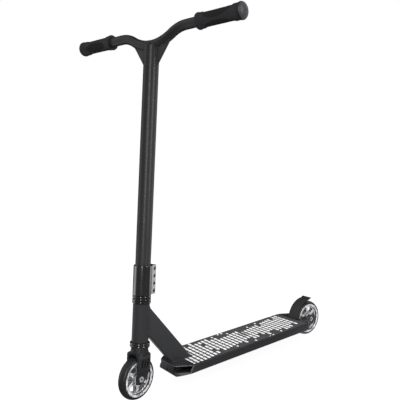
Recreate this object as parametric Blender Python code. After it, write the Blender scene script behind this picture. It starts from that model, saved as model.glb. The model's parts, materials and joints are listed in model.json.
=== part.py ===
"""Stunt scooter: a rigid two-wheeled kick scooter with gull-wing bars, a four-bolt clamp,
a threadless headset, a hollow deck and a flexing rear fender brake.

Frame: +Z up, forward is -Y, the rider's left is +X. The origin is on the ground, midway
along the length. Sizes are in metres. The bars stand turned a little to the rider's left.
"""
import math

import bmesh
import bpy
from mathutils import Vector

# Clearances
GAP = 0.0003              # between faces that touch or are pressed together
TURNING_GAP = 0.0006      # between faces that turn past each other
MERGE = 0.000001

# Roundness, in flat sides per turn
FINE = 36
ROUND = 20
SMALL = 14
CUTTER = 0.010            # how far a guide solid runs past what it cuts
SHARP = math.radians(35)

# Wheels, the same front and rear
WHEEL_DIAMETER = 0.100
TYRE_WIDTH = 0.024
TYRE_DEPTH = 0.0077
CORE_WIDTH = 0.0226
RIM_DEPTH = 0.0068
HUB_WIDTH = 0.024
HUB_DIAMETER = 0.031
WEB_THICKNESS = 0.011
SPOKES = 6
SPOKE_WIDTH = 0.0075
WINDOW_MARGIN = 0.0022
BEARING_DIAMETER = 0.022
BEARING_WIDTH = 0.007
SHIELD_RECESS = 0.0005
RACE_SHARE = 0.28         # how much of a bearing's side each of its two races takes
BEARING_SHOULDER = 0.0022
TYRE_STEPS = 8
BEARING_SPACER_WALL = 0.0018
AXLE_DIAMETER = 0.0078
AXLE_HEAD_DIAMETER = 0.0135
AXLE_HEAD_HEIGHT = 0.0026
AXLE_KEY = 0.0025
AXLE_POCKET_DIAMETER = 0.0152
AXLE_POCKET_DEPTH = 0.0046
NUT_WIDTH = 0.0126
NUT_HEIGHT = 0.0062
AXLE_END = 0.0012         # how far the thread stands out of the nut
WASHER_DIAMETER = 0.0138

# Layout of the two axles and of the steering axis
WHEELBASE = 0.585
HEAD_LEAN = math.radians(6.9)
FORK_OFFSET = 0.007
BARS_TURNED = math.radians(13.6)
WHEEL_SLOT = 0.0275       # clear width for a wheel, between fork legs or deck arms

# Fork
LEG_THICKNESS = 0.0085
LEG_FRONT = 0.0135        # from the axle forward to the leg's front face
LEG_BACK = 0.0245         # from the axle back to the leg's rear face, at the top
LEG_EDGE = 0.0045
DROPOUT_RADIUS = 0.0110
DROPOUT_CORNER = 0.0040   # rounding of the leg's front foot
DROPOUT_OUTSIDE = 0.0185  # half the width over the dropouts, where the legs are thinner
DROPOUT_POCKET = 0.0024
LEAN_FOOT = 0.0085        # the outer faces lean in between these heights above the axle
LEAN_TOP = 0.034
TAPER_HEIGHT = 0.017      # where the rear face starts to taper, above the axle
TYRE_CLEARANCE = 0.0045
CROWN_THICKNESS = 0.0075
CROWN_SHOULDER = 0.015     # rounding of the crown's corners, seen from the front
CROWN_BROW = 0.0095       # and seen from the side
CROWN_INNER_RADIUS = 0.007
CROWN_BOSS_DIAMETER = 0.040
CROWN_BOSS_HEIGHT = 0.006
CROWN_BOSS_CHAMFER = 0.0008
LEG_SLOTS = 3
LEG_SLOT_WIDTH = 0.0034
LEG_SLOT_LENGTH = 0.020
LEG_SLOT_PITCH = 0.0084
LEG_SLOT_TILT = math.radians(22)
LEG_SLOT_HEIGHT = 0.0352
LEG_SLOT_WAVE = 0.0013     # how far the slots bend either way
STEERER_DIAMETER = 0.0286
STEERER_WALL = 0.0028
STEERER_ABOVE_CLAMP_FOOT = 0.060

# Headset and head tube
HEAD_TUBE_DIAMETER = 0.039
HEAD_TUBE_WALL = 0.003
HEAD_TUBE_LENGTH = 0.0897
LOWER_STACK = 0.0143
UPPER_STACK = 0.0194
LOWER_CUP_DIAMETER = 0.0466
UPPER_CUP_DIAMETER = 0.0428
CUP_SKIRT = 0.008
CUP_WALL = 0.0024
CUP_SEAT = 0.0035
CUP_CHAMFER = 0.0008
RACE_DIAMETER = 0.037
RACE_HEIGHT = 0.0028
RACE_TAPER = 0.002
HEAD_BEARING_HEIGHT = 0.0065
COMPRESSION_RING_HEIGHT = 0.0035
COMPRESSION_RING_WALL = 0.0038
COMPRESSION_RING_TAPER = 0.0013
TOP_CAP_HEIGHT = 0.0076
TOP_CAP_ROUNDING = 0.0016
TOP_CAP_RIM = 0.0018

# Bar clamp
CLAMP_HEIGHT = 0.068
CLAMP_WALL = 0.0034
CLAMP_SLIT = 0.0024
EAR_WIDTH = 0.026
EAR_DEPTH = 0.0105        # how far the ears stand behind the collar's wall
EAR_ROUNDING = 0.0025
CLAMP_BOLTS = 4
CLAMP_BOLT_DIAMETER = 0.006
CLAMP_BOLT_HEAD = 0.010
CLAMP_BOLT_HEAD_HEIGHT = 0.0038
CLAMP_BOLT_PITCH = 0.0173
CLAMP_KEY = 0.0025
CLAMP_BOLT_AHEAD = 0.0008 # from the middle of the ears forward to the bolts

# Compression parts inside the bars
SHIM_WALL = 0.0009
CAP_THICKNESS = 0.0035
COMPRESSION_BOLT_DIAMETER = 0.006
COMPRESSION_BOLT_LENGTH = 0.030
COMPRESSION_BOLT_HEAD = 0.010
COMPRESSION_BOLT_HEAD_HEIGHT = 0.006
COMPRESSION_KEY = 0.0026
STAR_NUT_HEIGHT = 0.008
STAR_NUT_FLANGE = 0.0012
STAR_NUT_WALL = 0.0018
COMPRESSION_BOLT_END = 0.002

# Bars
DOWN_TUBE_DIAMETER = 0.0356
DOWN_TUBE_WALL = 0.002
DOWN_TUBE_SLIT = 0.003
DOWN_TUBE_SLIT_LENGTH = 0.055
DOWN_TUBE_DOME = 0.016
DOWN_TUBE_DOME_BELOW = 0.006   # from the cross tube's centre line down to the dome's foot
DOWN_TUBE_DOME_END = math.radians(55)
DOWN_TUBE_DOME_STEPS = 5
BAR_HEIGHT = 0.5976       # from the clamp's foot to the grips' centre line
BAR_WIDTH = 0.486
BAR_DROP = 0.0275         # how far the middle of the cross tube lies below the grips
CROSS_TUBE_DIAMETER = 0.0222
CROSS_TUBE_WALL = 0.0016
INNER_BEND = 0.120
OUTER_BEND = 0.080
BEND_STEPS = 4
GUSSET_THICKNESS = 0.005
GUSSET_REACH = 0.0565
GUSSET_DROP = 0.0505
GUSSET_STEPS = 6
GRIP_LENGTH = 0.1065
GRIP_DIAMETER = 0.0306
GRIP_FLANGE_DIAMETER = 0.0358
GRIP_FLANGE = 0.0042
GRIP_COLLAR_DIAMETER = 0.0336
GRIP_COLLAR = 0.013
GRIP_COLLAR_TAPER = 0.0035
GRIP_ROUNDING = 0.0012
PLUG_DIAMETER = 0.0356
PLUG_RIM = 0.0020
PLUG_DOME = 0.0092
PLUG_STEM = 0.020
PLUG_HOLE = 0.003
PLUG_DOME_END = math.radians(80)
PLUG_DOME_STEPS = 4

# Neck
NECK_WIDTH = 0.024
NECK_HEIGHT = 0.0455
NECK_WALL = 0.003
NECK_SLOPE = math.radians(54)
NECK_JOIN = 0.0249        # from the head tube's upper end down to the neck's centre line

# Deck
DECK_TOP = 0.060
DECK_WIDTH = 0.118
DECK_SIDE = 0.019
DECK_KEEL = 0.006         # how far the keel hangs below the sides
KEEL_WIDTH = 0.076
DECK_NOSE_WIDTH = 0.073      # the front face, at its foot
DECK_NOSE_WIDTH_TOP = 0.055
DECK_NOSE_TAPER = 0.030    # behind the front face, at the foot of the sides
DECK_NOSE_TAPER_TOP = 0.043
DECK_NOSE_AHEAD = 0.0080  # from the neck's foot to the deck's front face
DECK_EDGE = 0.0015
DECK_WALL = 0.0035
RAIL_OUTSIDE = 0.028      # from the middle to the side chambers
DECK_RIB = 0.0035         # between the side chambers and the middle one
NOSE_WALL = 0.012         # ahead of the middle chamber
TAIL_WALL = 0.020         # between the middle chamber and the wheel's slot
ARM_THICKNESS = 0.010
ARM_END_RADIUS = 0.0115
ARM_BEHIND_AXLE = 0.006
ARM_TAPER = 0.050
DECK_TAIL_TAPER_AHEAD = 0.055
NOSE_HOLE = 0.005
NOSE_HOLE_HEIGHT = 0.0075  # above the keel's underside
NOSE_HOLE_DEPTH = 0.020
TAPE_THICKNESS = 0.0008
TAPE_MARGIN = 0.0025
TAPE_FRONT_MARGIN = -0.003
TAPE_REAR_MARGIN = 0.0025
TAPE_NECK_MARGIN = 0.002

# Fender brake
FENDER_WIDTH = 0.031
FENDER_THICKNESS = 0.0025
FENDER_CLEARANCE = 0.0066
FENDER_END = math.radians(90)
FENDER_LIP = 0.009
FENDER_LIP_TILT = math.radians(24)
FENDER_FOOT = 0.0165
FENDER_STEPS = 14
FENDER_SCREW_DIAMETER = 0.004
FENDER_SCREW_HEAD = 0.0076
FENDER_SCREW_HEAD_HEIGHT = 0.0018
FENDER_SCREW_LENGTH = 0.014
FENDER_SCREW_KEY = 0.0014
FENDER_SCREW_ROOM = 0.003  # behind the heads, where the deck's slot widens

# Derived places on the wheels and the steering axis
WHEEL_RADIUS = WHEEL_DIAMETER / 2
CORE_RADIUS = WHEEL_RADIUS - TYRE_DEPTH - GAP
AXLE_RADIUS = AXLE_DIAMETER / 2
AXLE_BORE = AXLE_RADIUS + GAP
LEG_INSIDE = WHEEL_SLOT / 2
LEG_OUTSIDE = LEG_INSIDE + LEG_THICKNESS
ARM_OUTSIDE = WHEEL_SLOT / 2 + ARM_THICKNESS
CROWN_FOOT = WHEEL_RADIUS + TYRE_CLEARANCE
BLOCK_TOP = CROWN_FOOT + CROWN_THICKNESS
CROWN_TOP = BLOCK_TOP + CROWN_BOSS_HEIGHT
HEAD_TUBE_FOOT = CROWN_TOP + LOWER_STACK
HEAD_TUBE_TOP = HEAD_TUBE_FOOT + HEAD_TUBE_LENGTH
CLAMP_FOOT = HEAD_TUBE_TOP + UPPER_STACK
CLAMP_TOP = CLAMP_FOOT + CLAMP_HEIGHT
STEERER_RADIUS = STEERER_DIAMETER / 2
STEERER_TOP = CLAMP_FOOT + STEERER_ABOVE_CLAMP_FOOT
DOWN_TUBE_RADIUS = DOWN_TUBE_DIAMETER / 2
GRIP_LINE = CLAMP_FOOT + BAR_HEIGHT
BAR_MIDDLE = GRIP_LINE - BAR_DROP
CROSS_TUBE_RADIUS = CROSS_TUBE_DIAMETER / 2
DECK_HALF = DECK_WIDTH / 2
DECK_SIDE_FOOT = DECK_TOP - DECK_SIDE
DECK_FOOT = DECK_SIDE_FOOT - DECK_KEEL


def front_reach():
    """How far the turned front wheel reaches ahead of its own centre."""
    along_axle = math.cos(HEAD_LEAN) * math.sin(BARS_TURNED)
    across = math.sqrt(1 - along_axle ** 2)
    crown = math.hypot(TYRE_WIDTH / 2 * along_axle, TYRE_DEPTH * across)
    return (WHEEL_RADIUS - TYRE_DEPTH) * across + crown


# The length is centred on the origin
TURN_SHIFT = FORK_OFFSET * math.cos(HEAD_LEAN) * (1 - math.cos(BARS_TURNED))
REAR_AXLE_Y = (WHEELBASE - TURN_SHIFT + front_reach() - WHEEL_RADIUS) / 2
FRONT_AXLE_Y = REAR_AXLE_Y - WHEELBASE
STEERING_FOOT = Vector((
    0,
    FRONT_AXLE_Y + FORK_OFFSET * math.cos(HEAD_LEAN),
    WHEEL_RADIUS - FORK_OFFSET * math.sin(HEAD_LEAN),
))
STEERING_DIRECTION = Vector((0, math.sin(HEAD_LEAN), math.cos(HEAD_LEAN)))

# Looks: colour, roughness, metallic
SATIN_BLACK = ((0.030, 0.030, 0.033), 0.42, 0.0)
MATTE_BLACK = ((0.035, 0.035, 0.038), 0.60, 0.0)
GLOSS_BLACK = ((0.016, 0.016, 0.018), 0.20, 0.0)
DARK_CHROME = ((0.20, 0.20, 0.21), 0.22, 1.0)
BLACK_STEEL = ((0.045, 0.045, 0.048), 0.35, 0.8)
STEEL = ((0.55, 0.55, 0.56), 0.30, 1.0)
SILVER = ((0.78, 0.78, 0.80), 0.30, 0.6)
RUBBER = ((0.022, 0.022, 0.024), 0.75, 0.0)
URETHANE = ((0.026, 0.027, 0.030), 0.50, 0.0)
GRIT = ((0.060, 0.060, 0.064), 0.95, 0.0)
BLACK_PLASTIC = ((0.050, 0.050, 0.053), 0.50, 0.0)


def empty(name, location=(0, 0, 0), rotation=(0, 0, 0), parent=None):
    """A bare axis that pieces are parented to."""
    axis = bpy.data.objects.new(name, None)
    axis.location = location
    axis.rotation_euler = rotation
    axis.parent = parent
    bpy.context.collection.objects.link(axis)
    return axis


def solid_object(name, bm, parent):
    """Closes a bmesh into an object in its parent's frame."""
    bmesh.ops.remove_doubles(bm, verts=bm.verts, dist=MERGE)
    bmesh.ops.recalc_face_normals(bm, faces=bm.faces)
    mesh = bpy.data.meshes.new(name)
    bm.to_mesh(mesh)
    bm.free()
    mesh.shade_smooth()
    mesh.set_sharp_from_angle(angle=SHARP)
    solid = bpy.data.objects.new(name, mesh)
    solid.parent = parent
    bpy.context.collection.objects.link(solid)
    return solid


def piece(name, bm, look, parent):
    """One sub-part with its own material."""
    solid = solid_object(name, bm, parent)
    colour, roughness, metallic = look
    material = bpy.data.materials.new(name)
    material.use_nodes = True
    shader = material.node_tree.nodes["Principled BSDF"]
    shader.inputs["Base Color"].default_value = (*colour, 1)
    shader.inputs["Roughness"].default_value = roughness
    shader.inputs["Metallic"].default_value = metallic
    solid.data.materials.append(material)
    return solid


def combine(solid, operation, name, bm):
    """Shapes a piece with a hidden guide solid that lies in the same frame."""
    guide = solid_object(name, bm, solid.parent)
    guide.hide_render = True
    guide.display_type = "WIRE"
    step = solid.modifiers.new(name, "BOOLEAN")
    step.operation = operation
    step.solver = "EXACT"
    step.object = guide


def turned(outline, sides, bm=None):
    """Body turned about local Z from (radius, height) points; it closes on the axis or on itself."""
    bm = bmesh.new() if bm is None else bm
    points = [bm.verts.new((radius, 0, height)) for radius, height in outline]
    edges = [bm.edges.new(pair) for pair in zip(points, points[1:])]
    if outline[0][0] > 0:
        edges.append(bm.edges.new((points[-1], points[0])))
    bmesh.ops.spin(
        bm, geom=points + edges, cent=(0, 0, 0), axis=(0, 0, 1),
        angle=math.tau, steps=sides, use_merge=True,
    )
    return bm


def ring(inside, outside, low, high, sides):
    """Plain turned ring."""
    return turned([(inside, low), (outside, low), (outside, high), (inside, high)], sides)


def prism(outline, low, high, along, bm=None):
    """Outline in the other two axes, extruded along one axis."""
    bm = bmesh.new() if bm is None else bm
    spread = {
        "X": lambda u, v, w: (w, u, v),
        "Y": lambda u, v, w: (u, w, v),
        "Z": lambda u, v, w: (u, v, w),
    }[along]
    face = bm.faces.new([bm.verts.new(spread(u, v, low)) for u, v in outline])
    grown = bmesh.ops.extrude_face_region(bm, geom=[face])["geom"]
    moved = [item for item in grown if isinstance(item, bmesh.types.BMVert)]
    bmesh.ops.translate(bm, verts=moved, vec=Vector(spread(0, 0, high - low)))
    return bm


def between_plans(lower, low, upper, high):
    """Solid between two plans of as many points, at two heights."""
    bm = bmesh.new()
    below = [bm.verts.new((x, y, low)) for x, y in lower]
    above = [bm.verts.new((x, y, high)) for x, y in upper]
    bm.faces.new(below[::-1])
    bm.faces.new(above)
    for k in range(len(below)):
        j = (k + 1) % len(below)
        wall = bm.faces.new((below[k], below[j], above[j], above[k]))
        if (lower[k], lower[j]) != (upper[k], upper[j]):
            bmesh.ops.triangulate(bm, faces=[wall])
    return bm


def rod(start, end, radius, sides, bm=None):
    """Round bar between two points."""
    bm = bmesh.new() if bm is None else bm
    start = Vector(start)
    end = Vector(end)
    run = end - start
    place = run.to_track_quat("Z", "Y").to_matrix().to_4x4()
    place.translation = (start + end) / 2
    bmesh.ops.create_cone(
        bm, cap_ends=True, segments=sides, radius1=radius, radius2=radius,
        depth=run.length, matrix=place,
    )
    return bm


def swept(path, outside, sides, inside=None):
    """Tube or bar along a path of (point, tangent) pairs in the XZ plane."""
    bm = bmesh.new()
    across = Vector((0, 1, 0))

    def skin(radius):
        loops = []
        for point, tangent in path:
            normal = Vector((-tangent.z, 0, tangent.x))
            angles = [math.tau * k / sides for k in range(sides)]
            loops.append([
                bm.verts.new(point + radius * (math.cos(a) * normal + math.sin(a) * across))
                for a in angles
            ])
        for near, far in zip(loops, loops[1:]):
            bridge(near, far)
        return loops

    def bridge(near, far):
        for k in range(sides):
            following = (k + 1) % sides
            bm.faces.new((near[k], near[following], far[following], far[k]))

    outer = skin(outside)
    if inside is None:
        bm.faces.new(outer[0])
        bm.faces.new(outer[-1])
    else:
        inner = skin(inside)
        bridge(outer[0], inner[0])
        bridge(outer[-1], inner[-1])
    return bm


def arc(centre, radius, start, end, steps):
    """Points on an arc, ends included."""
    angles = [start + (end - start) * k / steps for k in range(steps + 1)]
    return [(centre[0] + radius * math.cos(a), centre[1] + radius * math.sin(a)) for a in angles]


def laid(bm, direction, place):
    """Turns a body's Z to another direction and moves it there."""
    turn = Vector((0, 0, 1)).rotation_difference(Vector(direction)).to_matrix()
    bmesh.ops.rotate(bm, verts=bm.verts, cent=(0, 0, 0), matrix=turn)
    bmesh.ops.translate(bm, verts=bm.verts, vec=place)
    return bm


def joined(bodies):
    """Several bodies in one mesh."""
    whole = bmesh.new()
    for body in bodies:
        carrier = bpy.data.meshes.new("carrier")
        body.to_mesh(carrier)
        body.free()
        whole.from_mesh(carrier)
        bpy.data.meshes.remove(carrier)
    return whole


def mirrored(half):
    """Half an outline at +X, then its mirror image back again."""
    return half + [(-x, y) for x, y in reversed(half)]


def socket_head(radius, height, shank, length, key):
    """Outline of a bolt: its head above Z = 0, its shank below, a socket of radius key on top."""
    rounding = height / 3
    socket_floor = height / 2
    return [
        (0, -length), (shank, -length), (shank, 0), (radius, 0),
        (radius, height - rounding), (radius - rounding, height),
        (key, height), (key, socket_floor), (0, socket_floor),
    ]


def make_wheel(prefix, axis):
    """Tyre, core and two bearings, turned about the axle that is the axis's own Z."""
    side = TYRE_WIDTH / 2
    seat = CORE_RADIUS + GAP
    crown = [
        (seat + TYRE_DEPTH * math.cos(t), side * math.sin(t))
        for t in [math.pi * (0.5 - k / TYRE_STEPS) for k in range(TYRE_STEPS + 1)]
    ]
    bead = CORE_WIDTH / 2
    tyre = [(seat, -bead), (seat, bead)] + crown
    piece(prefix + "_tyre", turned(tyre, FINE), URETHANE, axis)

    rim_inside = CORE_RADIUS - RIM_DEPTH
    hub = HUB_DIAMETER / 2
    web = WEB_THICKNESS / 2
    bearing_seat = BEARING_DIAMETER / 2 + GAP
    shoulder = HUB_WIDTH / 2 - BEARING_WIDTH - GAP
    shoulder_bore = bearing_seat - BEARING_SHOULDER
    half = [
        (shoulder_bore, shoulder), (bearing_seat, shoulder), (bearing_seat, HUB_WIDTH / 2),
        (hub, HUB_WIDTH / 2), (hub, web), (rim_inside, web),
        (rim_inside, CORE_WIDTH / 2), (CORE_RADIUS, CORE_WIDTH / 2),
    ]
    outline = half + [(r, -h) for r, h in reversed(half)]
    core = piece(prefix + "_wheel_core", turned(outline, FINE), SILVER, axis)
    windows = bmesh.new()
    inner = hub + WINDOW_MARGIN
    outer = rim_inside - WINDOW_MARGIN
    for k in range(SPOKES):
        middle = math.tau * (k + 0.5) / SPOKES
        sweep = math.pi / SPOKES
        inner_sweep = sweep - SPOKE_WIDTH / 2 / inner
        outer_sweep = sweep - SPOKE_WIDTH / 2 / outer
        window = arc((0, 0), outer, middle - outer_sweep, middle + outer_sweep, 5)
        window += arc((0, 0), inner, middle + inner_sweep, middle - inner_sweep, 3)
        prism(window, -HUB_WIDTH, HUB_WIDTH, "Z", windows)
    combine(core, "DIFFERENCE", prefix + "_windows", windows)

    low = HUB_WIDTH / 2 - BEARING_WIDTH
    high = HUB_WIDTH / 2
    shield = high - SHIELD_RECESS
    outside = BEARING_DIAMETER / 2
    race = (outside - AXLE_BORE) * RACE_SHARE
    bearing = [
        (AXLE_BORE, low), (outside, low), (outside, high), (outside - race, high),
        (outside - race, shield), (AXLE_BORE + race, shield), (AXLE_BORE + race, high),
        (AXLE_BORE, high),
    ]
    for name, sign in (("left", 1), ("right", -1)):
        outline = [(r, sign * h) for r, h in bearing]
        piece("{}_bearing_{}".format(prefix, name), turned(outline, ROUND), STEEL, axis)


def axle_cut(outside, seat, place):
    """Axle bore between two pockets that are sunk into the outer faces."""
    pocket = AXLE_POCKET_DIAMETER / 2
    half = [(AXLE_BORE, seat), (pocket, seat), (pocket, 2 * outside), (0, 2 * outside)]
    outline = [(r, -h) for r, h in reversed(half)] + half
    return laid(turned(outline, SMALL), (1, 0, 0), place)


def make_axle(prefix, axis, seat):
    """Axle bolt, nut, washers and the sleeve between the bearings."""
    sleeve = HUB_WIDTH / 2 - BEARING_WIDTH - GAP
    sleeve_radius = AXLE_BORE + BEARING_SPACER_WALL
    piece(prefix + "_bearing_spacer", ring(AXLE_BORE, sleeve_radius, -sleeve, sleeve, SMALL), STEEL, axis)

    near = HUB_WIDTH / 2 + GAP
    far = WHEEL_SLOT / 2 - GAP
    radius = WASHER_DIAMETER / 2
    for name, low, high in (("left", near, far), ("right", -far, -near)):
        washer = ring(AXLE_BORE, radius, low, high, SMALL)
        piece("{}_axle_washer_{}".format(prefix, name), washer, STEEL, axis)

    head = seat + GAP
    length = 2 * seat + 3 * GAP + NUT_HEIGHT + AXLE_END
    shape = socket_head(AXLE_HEAD_DIAMETER / 2, AXLE_HEAD_HEIGHT, AXLE_RADIUS, length, AXLE_KEY)
    bolt = laid(turned(shape, SMALL), (0, 0, 1), (0, 0, head))
    piece(prefix + "_axle_bolt", bolt, STEEL, axis)

    across_corners = NUT_WIDTH / 2 / math.cos(math.pi / 6)
    top = -seat - GAP
    nut = piece(
        prefix + "_axle_nut", rod((0, 0, top), (0, 0, top - NUT_HEIGHT), across_corners, 6),
        BLACK_STEEL, axis,
    )
    bore = rod((0, 0, top + CUTTER), (0, 0, top - NUT_HEIGHT - CUTTER), AXLE_BORE, SMALL)
    combine(nut, "DIFFERENCE", prefix + "_nut_bore", bore)


def make_fork(head):
    """Crown and two legs in one piece: a front view met by a side view."""
    shoulder = CROWN_SHOULDER
    low = -DROPOUT_RADIUS - CUTTER
    outer = [
        (DROPOUT_OUTSIDE, low), (DROPOUT_OUTSIDE, LEAN_FOOT), (LEG_OUTSIDE, LEAN_TOP),
        (LEG_OUTSIDE, BLOCK_TOP - shoulder),
    ]
    outer += arc((LEG_OUTSIDE - shoulder, BLOCK_TOP - shoulder), shoulder, 0, math.pi / 2, 4)[1:]
    bend = CROWN_INNER_RADIUS
    inner = arc((LEG_INSIDE - bend, CROWN_FOOT - bend), bend, math.pi / 2, 0, 4)
    inner.append((LEG_INSIDE, low))
    front_view = outer + [(-x, z) for x, z in reversed(outer)]
    front_view += [(-x, z) for x, z in reversed(inner)] + inner
    front = -FORK_OFFSET - LEG_FRONT
    back = -FORK_OFFSET + LEG_BACK
    fork = piece("fork", prism(front_view, front - CUTTER, back + CUTTER, "Y"), SATIN_BLACK, head)

    foot = DROPOUT_CORNER - DROPOUT_RADIUS
    side_view = arc(
        (front + DROPOUT_CORNER, foot), DROPOUT_CORNER, math.pi, 1.5 * math.pi, 3)
    away = math.hypot(LEG_BACK, TAPER_HEIGHT)
    turn = math.atan2(TAPER_HEIGHT, LEG_BACK) - math.acos(DROPOUT_RADIUS / away)
    side_view += arc(
        (-FORK_OFFSET, 0), DROPOUT_RADIUS, 1.5 * math.pi, math.tau + turn, 5)
    side_view.append((back, TAPER_HEIGHT))
    brow = CROWN_BROW
    side_view += arc((back - brow, BLOCK_TOP - brow), brow, 0, math.pi / 2, 3)
    side_view += arc((front + brow, BLOCK_TOP - brow), brow, math.pi / 2, math.pi, 3)
    reach = LEG_OUTSIDE + CUTTER
    combine(fork, "INTERSECT", "fork_side_view", prism(side_view, -reach, reach, "X"))

    edge = LEG_EDGE
    plan = []
    for x, y, start in (
        (LEG_OUTSIDE, back, 0), (-LEG_OUTSIDE, back, 1), (-LEG_OUTSIDE, front, 2),
        (LEG_OUTSIDE, front, 3),
    ):
        middle = (x - math.copysign(edge, x), y - math.copysign(edge, y))
        plan += arc(middle, edge, start * math.pi / 2, (start + 1) * math.pi / 2, 3)
    combine(fork, "INTERSECT", "fork_plan", prism(plan, low - CUTTER, CROWN_TOP, "Z"))

    root = BLOCK_TOP - CROWN_SHOULDER / 2
    boss = CROWN_BOSS_DIAMETER / 2
    shape = [(0, root), (boss, root), (boss - CROWN_BOSS_CHAMFER, CROWN_TOP), (0, CROWN_TOP)]
    combine(fork, "UNION", "crown_boss", turned(shape, ROUND))
    low = (0, 0, CROWN_FOOT - CUTTER)
    high = (0, 0, CROWN_TOP + CUTTER)
    bore = rod(low, high, STEERER_RADIUS + GAP, ROUND)
    combine(fork, "DIFFERENCE", "steerer_bore", bore)
    seat = DROPOUT_OUTSIDE - DROPOUT_POCKET
    cut = axle_cut(DROPOUT_OUTSIDE, seat, (0, -FORK_OFFSET, 0))
    combine(fork, "DIFFERENCE", "front_axle_cut", cut)

    slots = bmesh.new()
    rise = LEG_SLOT_LENGTH / 2 * math.cos(LEG_SLOT_TILT)
    lean = LEG_SLOT_LENGTH / 2 * math.sin(LEG_SLOT_TILT)
    for k in range(LEG_SLOTS):
        middle = (front + back) / 2 + (k - (LEG_SLOTS - 1) / 2) * LEG_SLOT_PITCH
        line = []
        for step in range(-6, 7):
            t = step / 6
            across = middle + lean * t - LEG_SLOT_WAVE * math.sin(math.pi * t)
            line.append(Vector((across, LEG_SLOT_HEIGHT + rise * t)))
        prism(strip(line, LEG_SLOT_WIDTH), -reach, reach, "X", slots)
    combine(fork, "DIFFERENCE", "fork_slots", slots)

    inside = STEERER_RADIUS - STEERER_WALL
    steerer = ring(inside, STEERER_RADIUS, CROWN_FOOT, STEERER_TOP, ROUND)
    piece("steerer_tube", steerer, BLACK_STEEL, head)


def make_headset(axis, head):
    """Cups and bearings stay with the frame; race, ring and cap turn with the fork."""
    bore = STEERER_RADIUS + TURNING_GAP
    tube_inside = HEAD_TUBE_DIAMETER / 2 - HEAD_TUBE_WALL
    tube = ring(tube_inside, HEAD_TUBE_DIAMETER / 2, HEAD_TUBE_FOOT, HEAD_TUBE_TOP, FINE)
    piece("head_tube", tube, SATIN_BLACK, axis)

    race_foot = CROWN_TOP + GAP
    race_top = race_foot + RACE_HEIGHT
    race = turned([
        (STEERER_RADIUS + GAP, race_foot), (RACE_DIAMETER / 2, race_foot),
        (RACE_DIAMETER / 2, race_foot + RACE_HEIGHT / 2), (RACE_DIAMETER / 2 - RACE_TAPER, race_top),
        (STEERER_RADIUS + GAP, race_top),
    ], ROUND)
    piece("crown_race", race, STEEL, head)

    def cup(name, outside, seat, mouth, into, look):
        """A cup on the end of the head tube: its seat faces the tube, its mouth faces away."""
        skirt = seat + into * (CUP_SKIRT + GAP)
        face = seat - into * GAP
        floor = face - into * CUP_SEAT
        pocket = outside - CUP_WALL
        skirt_outside = tube_inside - GAP
        shoulder = HEAD_TUBE_DIAMETER / 2 + GAP
        chamfer = CUP_CHAMFER
        outline = [
            (bore, skirt), (skirt_outside, skirt), (skirt_outside, face), (shoulder, face),
            (outside, floor), (outside, mouth + into * chamfer), (outside - chamfer, mouth),
            (pocket, mouth), (pocket, floor), (bore, floor),
        ]
        piece(name, turned(outline, ROUND), look, axis)
        return floor, pocket

    lower_mouth = race_top + TURNING_GAP - RACE_HEIGHT / 2
    floor, pocket = cup(
        "headset_lower_cup", LOWER_CUP_DIAMETER / 2, HEAD_TUBE_FOOT, lower_mouth, 1, GLOSS_BLACK)
    lower = ring(bore, pocket - GAP, race_top + TURNING_GAP, floor - GAP, ROUND)
    piece("headset_lower_bearing", lower, STEEL, axis)

    cap_top = CLAMP_FOOT - GAP
    cap_foot = cap_top - TOP_CAP_HEIGHT
    upper_mouth = cap_foot - TURNING_GAP
    floor, pocket = cup(
        "headset_upper_cup", UPPER_CUP_DIAMETER / 2, HEAD_TUBE_TOP, upper_mouth, -1, GLOSS_BLACK)
    bearing_top = floor + GAP + HEAD_BEARING_HEIGHT
    piece("headset_upper_bearing", ring(bore, pocket - GAP, floor + GAP, bearing_top, ROUND), STEEL, axis)

    ring_foot = bearing_top + TURNING_GAP
    ring_top = ring_foot + COMPRESSION_RING_HEIGHT
    ring_bore = STEERER_RADIUS + GAP
    ring_outside = ring_bore + COMPRESSION_RING_WALL
    wedge = turned([
        (ring_bore, ring_foot), (ring_outside, ring_foot),
        (ring_outside - COMPRESSION_RING_TAPER, ring_top), (ring_bore, ring_top),
    ], ROUND)
    piece("headset_compression_ring", wedge, STEEL, head)

    outside = UPPER_CUP_DIAMETER / 2
    rounding = TOP_CAP_ROUNDING
    recess = max(ring_top, cap_foot) + GAP
    rim = max(outside - 2 * TOP_CAP_RIM - CUP_WALL, ring_outside + GAP)
    cap = turned([
        (ring_bore, recess), (rim, recess), (rim, cap_foot),
        (outside - rounding, cap_foot), (outside, cap_foot + rounding),
        (outside, cap_top - rounding), (outside - rounding, cap_top), (ring_bore, cap_top),
    ], ROUND)
    piece("headset_top_cap", cap, GLOSS_BLACK, head)


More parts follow.
